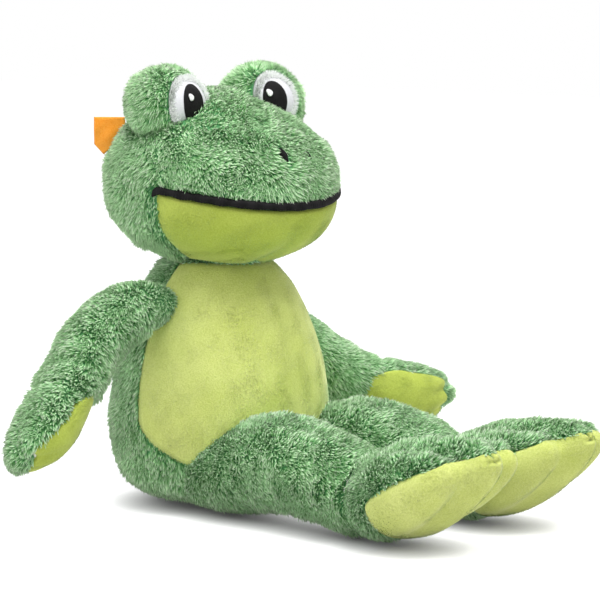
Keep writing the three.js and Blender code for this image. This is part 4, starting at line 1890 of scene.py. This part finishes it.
@dataclass
class FeltTab:
    """Plain orange felt tab sewn into the seam behind the right side of the head."""

    seam_angle: float = -128.0
    length: float = 14.5
    height: float = 17.0
    top: float = 174.0
    root: float = 0.3
    root_share: float = 0.5
    point_share: float = 0.7
    slope_share: float = 0.72
    thickness: float = 1.5
    wave: float = 0.25
    wave_length: float = 9.0
    seed: int = 41
    grid: tuple[int, int] = (30, 34)

    def build(self, head: RingForm) -> None:
        """Felt sheet with softly waved faces.

        Args:
            head: the head's form, whose seam holds the tab.
        """
        middle = (self.top - self.height / 2 - head.base) / head.height
        seam = head.at(np.array(middle), np.array(math.radians(self.seam_angle)))
        outward = unit(np.array([seam[0], seam[1], 0.0]))
        beside = np.cross(outward, UP)
        hinge = np.array([seam[0], seam[1], self.top])
        rows, columns = self.grid
        level, t = np.linspace(0, 1, rows)[:, None], np.linspace(0, 1, columns)[None]
        low = np.interp(level, [0, self.point_share, 1], [-self.root_share, -1, -self.slope_share])
        drop = low * self.height * (1 - t)
        reach = self.root + (self.length - self.root) * level + 0 * t
        flat = hinge + outward * reach[..., None] + UP * drop[..., None]
        wave = self.wave * ripple(flat, self.wave_length, self.seed)[..., :1]
        edge = np.minimum(np.minimum(t, 1 - t) * columns, np.minimum(level, 1 - level) * rows) / 2
        rounding = np.sqrt(np.clip(1 - (1 - np.clip(edge, 0, 1)) ** 2, 0, 1))[..., None]
        half = self.thickness / 2 * rounding
        shell = two_faced(flat + beside * (wave + half), flat + beside * (wave - half))
        tab = mesh_object("felt_tab_sheet", shell)
        Seat("tab").place(tab, Slot.FELT, ORANGE_FELT, "felt_tab")


@dataclass
class Arm:
    """Stuffed arm with a lime palm."""

    side: Side
    shoulder_height: float
    out: Sequence[float]
    drop: Sequence[float]
    forward: Sequence[float]
    facing: Sequence[float]
    shoulder_out: float = 46.0
    shoulder_forward: float = 1.0
    length: float = 86.0
    fall: float = 49.0
    advance: float = 17.0
    half_width: float = 11.5
    finger_notch: float = 2.5
    finger_crease: float = 0.14
    finger_start: float = 0.8
    caps: tuple[float, float] = (6, 6)
    nap_way: tuple[float, float, float] = (0.8, -0.15, -0.75)
    palm_start: float = 0.6
    palm_end: float = 0.975
    palm_angle: float = 78.0
    palm_point: float = 0.4
    slim_root: tuple[float, float] = (0.1, 0.28)
    fold_share: float = 0.66
    fold_width: float = 0.02
    fold_thinning: float = 0.5
    bend_inside: float = 9.0
    bend_outside: float = 3.0
    stuffed: float = 0.7
    grid: tuple[int, int] = (90, 72)
    panel_grid: tuple[int, int] = (50, 50)
    fur_seed: int = 51
    nap_seed: int = 54
    form: LimbForm = field(init=False)

    def __post_init__(self) -> None:
        """Backing surface of the arm."""
        path = np.column_stack([
            self.shoulder_out + self.length * np.array(self.out),
            -self.shoulder_forward - self.advance * np.array(self.forward),
            self.shoulder_height - self.fall * np.array(self.drop),
        ])
        widths, thicknesses = [0.93, 0.93, 0.97, 1.02, 1.2, 1], [0.93, 0.93, 0.96, 0.94, 0.96, 0.66]
        girths = np.column_stack([widths, thicknesses]) * self.half_width
        fingers = {
            "toe_notch": self.finger_notch,
            "toe_crease": self.finger_crease,
            "toe_start": self.finger_start,
        }
        self.form = LimbForm(path, girths, np.array(self.facing), self.caps, self.side, **fingers)

    def nap(self, points: Array, normals: Array) -> Array:
        """Nap along the arm towards the hand: out and down, and a little ahead."""
        way = np.array(self.nap_way) * [self.side.value, 1, 1]
        return np.broadcast_to(unit(way), points.shape)

    def build(self, torso: Form) -> None:
        """Backing, palm panel and the pile of both.

        Args:
            torso: the body's form, inside which the fabric keeps no pile.
        """
        name, body, hand = self.side.label, f"arm_{self.side.label}", self.side.value
        shoulder = np.array([hand * self.shoulder_out, -self.shoulder_forward, self.shoulder_height])
        inside, outside = [hand * self.bend_inside, 0, 0], [hand * self.bend_outside, 0, 0]
        sleeve, seat = Seat(body, shoulder - inside, shoulder + outside), Seat(body)
        panel = Panel(
            self.form, self.palm_start, self.palm_end, self.palm_angle, self.palm_point, middle=np.pi / 2
        )
        whole = Patch.whole(self.form, *self.grid)
        on_palm = panel.covers(whole)
        slim = 1 - smooth(whole.along, *self.slim_root)
        fold = fold_line(whole.along, self.fold_share, self.fold_width)
        plush = whole.lifted(PLUSH_LIFT * (1 - slim) * (1 - fold) * whole.clear_of(on_palm))
        sleeve.backing(f"arm_backing_{name}", plush, self.stuffed, f"arm_sleeve_{name}")
        palm = panel.patch(*self.panel_grid)
        # The palm takes the darker velour copy: painted shade on the downward face.
        seat.cloth(f"palm_velour_{name}", palm, SHADED_LIME_CLOTH, f"palm_panel_{name}")
        bare = whole.cells_in(on_palm) | buried(whole.at_cells(whole.points), [torso], SEAM_DEPTH)
        thin = self.fold_thinning * whole.at_cells(np.maximum(slim, fold))
        weight, seed = np.where(bare, 0, 1 - thin), self.fur_seed + hand
        sleeve.fur(f"arm_{name}", plush, weight, self.nap, seed, f"arm_sleeve_{name}")
        seed = self.nap_seed + hand
        seat.nap(f"palm_pile_{name}", palm, SHADED_LIME_PILE, f"palm_panel_{name}", self.nap, seed)
        fill(f"arm_stuffing_{name}", STUFFING)


@dataclass
class Leg:
    """Stuffed leg that lies on the floor and ends in a three-toed foot with a lime sole."""

    side: Side
    hip_out: float = 25.0
    hip_back: float = -15.0
    hip_height: float = 20.5
    length: float = 163.0
    splay: float = 9.0
    half_width: float = 16.5
    toe_rise: float = 26.0
    caps: tuple[float, float] = (7, 7)
    nap_way: tuple[float, float, float] = (0.05, -1.0, -0.25)
    heel_forward: float = 119.0
    heel_height: float = -2.0
    curve_forward: float = 109.0
    curve_height: float = 10.0
    seam_forward: float = 114.0
    seam_height: float = 22.0
    arch_forward: float = 137.0
    arch_height: float = 40.0
    tip_height: float = 50.0
    toe_notch: float = 6.0
    toe_crease: float = 0.2
    right_slant: float = 9.0
    left_slant: float = -6.0
    fold_share: float = 0.67
    fold_width: float = 0.016
    fold_depth: float = 2.6
    toe_seam: tuple[float, float] = (0.965, 0.985)
    fold_thinning: float = 0.6
    bend_behind: float = 12.0
    bend_ahead: float = 8.0
    stuffed: float = 0.7
    grid: tuple[int, int] = (130, 90)
    panel_grid: tuple[int, int] = (70, 80)
    fur_seed: int = 61
    nap_seed: int = 64
    form: LimbForm = field(init=False)

    def __post_init__(self) -> None:
        """Backing surface of the leg."""
        forward = np.array([-0.1, 0.1, 0.3, 0.48, 0.6, 0.79, 1.02])
        rise = np.array([0, -0.02, 0.26, 0.13, -0.08, 0.23, 0.83])
        path = np.column_stack([
            self.hip_out + self.splay * forward,
            self.hip_back - self.length * forward,
            self.hip_height + self.toe_rise * rise,
        ])
        widths = [0.98, 1, 1.08, 1.05, 0.98, 1.5, 1.5]
        thicknesses = [1, 0.97, 1.1, 1, 0.88, 1.1, 0.72]
        girths = np.column_stack([widths, thicknesses]) * self.half_width
        slant = self.left_slant if self.side is Side.LEFT else self.right_slant
        toes = (self.toe_notch, self.toe_crease, slant)
        self.form = LimbForm(path, girths, UP, self.caps, self.side, *toes)

    def seam_level(self, y: Array) -> Array:
        """Height of the sole's seam at a place along the leg.

        The seam is two curves of the second degree, one behind the heel and one from the heel to the tip.

        Args:
            y: places along y, in millimetres.

        Returns:
            Heights, in millimetres.
        """
        t = np.linspace(0, 1, 60)[:, None]
        hip = self.hip_back
        heel = np.array([hip - self.heel_forward, self.heel_height])
        curve = np.array([hip - self.curve_forward, self.curve_height])
        seam = np.array([hip - self.seam_forward, self.seam_height])
        arch = np.array([hip - self.arch_forward, self.arch_height])
        tip = np.array([hip - self.length - self.hip_height, self.tip_height])
        upper = (1 - t) ** 2 * seam + 2 * t * (1 - t) * arch + t**2 * tip
        lower = (1 - t) ** 2 * heel + 2 * t * (1 - t) * curve + t**2 * seam
        top = np.interp(-y, -upper[:, 0], upper[:, 1])
        under = np.interp(-y, -lower[::-1, 0], lower[::-1, 1], left=-FAR_AWAY)
        return np.where(y > seam[0], under, top)

    def below_seam(self, points: Array) -> Array:
        """Height of the seam above each point, which is positive on the sole."""
        return self.seam_level(points[..., 1]) - points[..., 2]

    def sole_patch(self, rows: int, columns: int) -> Patch:
        """Patch of the sole panel.

        On each ring it runs from the lowest point both ways up to the first place above the seam.

        Args:
            rows: rows along the form.
            columns: columns round it.

        Returns:
            The patch, at the height of the form.
        """
        steps = 361
        away = np.linspace(0, np.pi, steps)
        share = np.linspace(even_share(0.5), 1, 241)
        lowest = self.below_seam(self.form.at(ring_share(share), np.full_like(share, -np.pi / 2)))
        first = share[np.argmax(lowest > 0)]
        along = ring_share(np.linspace(first, 1, rows))[:, None]
        reach = []
        for way in (-1, 1):
            level = self.below_seam(self.form.at(along, -np.pi / 2 + way * away[None]))
            outside = level < 0
            index = np.where(outside.any(1), outside.argmax(1), steps - 1)
            before = np.maximum(index - 1, 0)
            row = np.arange(rows)
            a, b = level[row, before], level[row, index]
            part = np.where(outside.any(1) & (index > 0), a / np.maximum(a - b, TINY), 1)
            reach.append(away[before] + (away[index] - away[before]) * np.clip(part, 0, 1))
        t = np.linspace(0, 1, columns)[None]
        angle = -np.pi / 2 - reach[0][:, None] * (1 - t) + reach[1][:, None] * t
        return Patch.of(self.form, along + 0 * angle, angle)

    def nap(self, points: Array, normals: Array) -> Array:
        """Nap along the leg towards the toes, falling over the sides."""
        return np.broadcast_to(unit(np.array(self.nap_way)), points.shape)

    def build(self, torso: Form) -> None:
        """Backing, sole panel and the pile of both.

        Args:
            torso: the body's form, inside which the fabric keeps no pile.
        """
        name, body, hand = self.side.label, f"leg_{self.side.label}", self.side.value
        hip = np.array([hand * self.hip_out, self.hip_back, self.hip_height])
        start, end = hip + [0, self.bend_behind, 0], hip - [0, self.bend_ahead, 0]
        sleeve, seat = Seat(body, start, end), Seat(body)
        whole = Patch.whole(self.form, *self.grid)
        fold = fold_line(whole.along, self.fold_share, self.fold_width)
        lift = np.maximum(PLUSH_LIFT - self.fold_depth * fold, 0)
        lift = lift * (1 - smooth(whole.along, *self.toe_seam))
        plush = whole.lifted(lift * whole.clear_of(self.below_seam(whole.points) > 0))
        sleeve.backing(f"leg_backing_{name}", plush, self.stuffed, f"leg_sleeve_{name}")
        sole = self.sole_patch(*self.panel_grid)
        seat.cloth(f"sole_velour_{name}", sole, LIME_CLOTH, f"sole_panel_{name}")
        centres = whole.at_cells(whole.points)
        bare = (self.below_seam(centres) > 0) | buried(centres, [torso], HIP_DEPTH)
        weight = np.where(bare, 0, floor_thinning(centres))
        weight = weight * (1 - self.fold_thinning * whole.at_cells(fold))
        seed = self.fur_seed + hand
        sleeve.fur(f"leg_{name}", plush, weight, self.nap, seed, f"leg_sleeve_{name}")
        seed = self.nap_seed + hand
        seat.nap(f"sole_pile_{name}", sole, LIME_PILE, f"sole_panel_{name}", self.nap, seed)
        fill(f"leg_stuffing_{name}", STUFFING)


# Studio


@dataclass(frozen=True)
class SoftBox:
    """Square area lamp that faces the frog."""

    name: str
    azimuth: float
    elevation: float
    distance: float
    size: float
    power: float

    def build(self, target: Array) -> None:
        """Lamp at its distance from the target, turned to face it.

        Args:
            target: place that the lamp looks at.
        """
        lamp = bpy.data.lights.new(self.name, "AREA")
        lamp.shape, lamp.size, lamp.energy = "SQUARE", self.size, self.power
        holder = bpy.data.objects.new(self.name, lamp)
        bpy.context.scene.collection.objects.link(holder)
        aim(holder, target, self.azimuth, self.elevation, self.distance)


def aim(holder: bpy.types.Object, target: Array, azimuth: float, elevation: float, distance: float) -> None:
    """Put an object at a distance from the target, turned to look at it.

    Args:
        holder: the lamp or camera.
        target: place in metres.
        azimuth: degrees from the front.
        elevation: degrees over the floor.
        distance: metres from the target.
    """
    a, e = math.radians(azimuth), math.radians(elevation)
    back = np.array([math.sin(a) * math.cos(e), -math.cos(a) * math.cos(e), math.sin(e)])
    holder.location = tuple(target + back * distance)
    holder.rotation_euler = (math.pi / 2 - e, 0, a)


def camera_switch(tree: bpy.types.NodeTree, others: bpy.types.Node, seen: bpy.types.Node) -> bpy.types.Node:
    """One shader for the camera's own rays and another for all other rays."""
    path = node(tree, "ShaderNodeLightPath")
    return node(
        tree,
        "ShaderNodeMixShader",
        input_0=path.outputs["Is Camera Ray"],
        input_1=others.outputs[0],
        input_2=seen.outputs[0],
    )


@dataclass
class Studio:
    """Pale floor, soft boxes and the camera at the photograph's viewing angle."""

    target: Array = field(default_factory=lambda: np.array([0.012, -0.039, 0.093]))
    azimuth: float = -50.0
    elevation: float = 7.0
    distance: float = 1.3
    focal_pixels: float = 2900.0
    sensor: float = 36.0
    floor_size: float = 6.0
    floor_colour: str = "DCDCDC"
    floor_glow: float = 0.82
    shadow_colour: str = "A0A0A0"
    contact_distance: float = 0.014
    even_light: float = 0.62
    farthest: float = 30.0
    lamps: Sequence[SoftBox] = (
        SoftBox("key_box", -20, 70, 1.6, 1.0, 26.5),
        SoftBox("left_box", -120, 35, 1.8, 1.2, 8.5),
        SoftBox("back_box", 120, 45, 1.8, 1.2, 10.5),
    )

    def build(self) -> None:
        """Floor, world, lamps and camera."""
        self.build_floor()
        self.build_world()
        for lamp in self.lamps:
            lamp.build(self.target)
        data = bpy.data.cameras.new("camera")
        data.sensor_width = self.sensor
        data.lens = self.focal_pixels * self.sensor / IMAGE_WIDTH
        data.clip_end = self.farthest
        camera = bpy.data.objects.new("camera", data)
        bpy.context.scene.collection.objects.link(camera)
        aim(camera, self.target, self.azimuth, self.elevation, self.distance)
        bpy.context.scene.camera = camera
        bpy.context.scene.view_settings.view_transform = "Standard"

    def build_floor(self) -> None:
        """White sweep under the frog. Other rays see a plain matt floor; the camera sees it glowing white,
        darkened near the frog by ambient occlusion as a painted contact shadow, plus a grey diffuse part
        that keeps the lamps' own shadows.
        """
        half = self.floor_size / 2 / MM
        y, x = np.meshgrid([-half, half], [-half, half], indexing="ij")
        floor = mesh_object("floor", Shell.of_grid(np.stack([x, y, 0 * x], -1)))
        made = bpy.data.materials.new("white_sweep")
        made.use_nodes = True
        tree = made.node_tree
        tree.nodes.clear()
        surface = node(
            tree,
            "ShaderNodeBsdfPrincipled",
            {"Base Color": linear(self.floor_colour), "Roughness": 0.9, "Specular IOR Level": 0.1},
        )
        # Painted contact shadow: occlusion near the frog darkens the floor's glow.
        reach = {"samples": 12, "Distance": self.contact_distance}
        contact = node(tree, "ShaderNodeAmbientOcclusion", reach)
        strength = {"Strength": self.floor_glow}
        glow = node(tree, "ShaderNodeEmission", strength, Color=contact.outputs["Color"])
        shade = node(tree, "ShaderNodeBsdfDiffuse", {"Color": linear(self.shadow_colour)})
        seen = node(tree, "ShaderNodeAddShader", input_0=glow.outputs[0], input_1=shade.outputs[0])
        both = camera_switch(tree, surface, seen)
        node(tree, "ShaderNodeOutputMaterial", Surface=both.outputs[0])
        floor.data.materials.append(made)

    def build_world(self) -> None:
        """White background for the camera and a soft even light for the frog."""
        world = bpy.data.worlds.new("studio")
        bpy.context.scene.world = world
        world.use_nodes = True
        tree = world.node_tree
        tree.nodes.clear()
        light = node(tree, "ShaderNodeBackground", {"Color": linear("FFFFFF"), "Strength": self.even_light})
        seen = node(tree, "ShaderNodeBackground", {"Color": linear("FFFFFF"), "Strength": 1.0})
        both = camera_switch(tree, light, seen)
        node(tree, "ShaderNodeOutputWorld", Surface=both.outputs[0])


def main() -> None:
    """Builds the frog's sub-assemblies and the studio."""
    logging.basicConfig(level=logging.INFO, format="%(name)s: %(message)s")
    torso, head = Torso(), Head()
    eyes = [
        Eye(Side.RIGHT, white_inward=2.4, pupil_inward=2.1),
        Eye(
            Side.LEFT,
            white_inward=1.8,
            white_half_width=10.6,
            pupil_inward=3.8,
            highlight_aside=3.3,
            highlight_up=3.5,
        ),
    ]
    arms = [
        Arm(
            Side.RIGHT,
            shoulder_height=92.0,
            out=(-0.165, 0.12, 0.4, 0.65, 0.88, 1.12),
            drop=(-0.02, 0, 0.2, 0.57, 0.91, 1.1),
            forward=(0, 0, 0.06, 0.3, 0.6, 0.88),
            facing=(-0.62, -0.57, -0.54),
        ),
        Arm(
            Side.LEFT,
            shoulder_height=75.0,
            out=(-0.175, 0.07, 0.21, 0.42, 0.7, 0.98),
            drop=(-0.18, 0.1, 0.35, 0.6, 0.78, 0.79),
            forward=(-0.06, 0, 0.24, 0.76, 1.35, 1.82),
            facing=(-0.45, -0.85, -0.28),
        ),
    ]
    legs = [Leg(side) for side in Side]
    limbs = [limb.form for limb in (*arms, *legs)]
    torso.build(limbs, head.form)
    head.build(eyes, torso.form)
    for eye in eyes:
        eye.build(head.form)
    FeltTab().build(head.form)
    for arm in arms:
        arm.build(torso.form)
    for leg in legs:
        leg.build(torso.form)
    Studio().build()


if __name__ == "__main__":
    main()
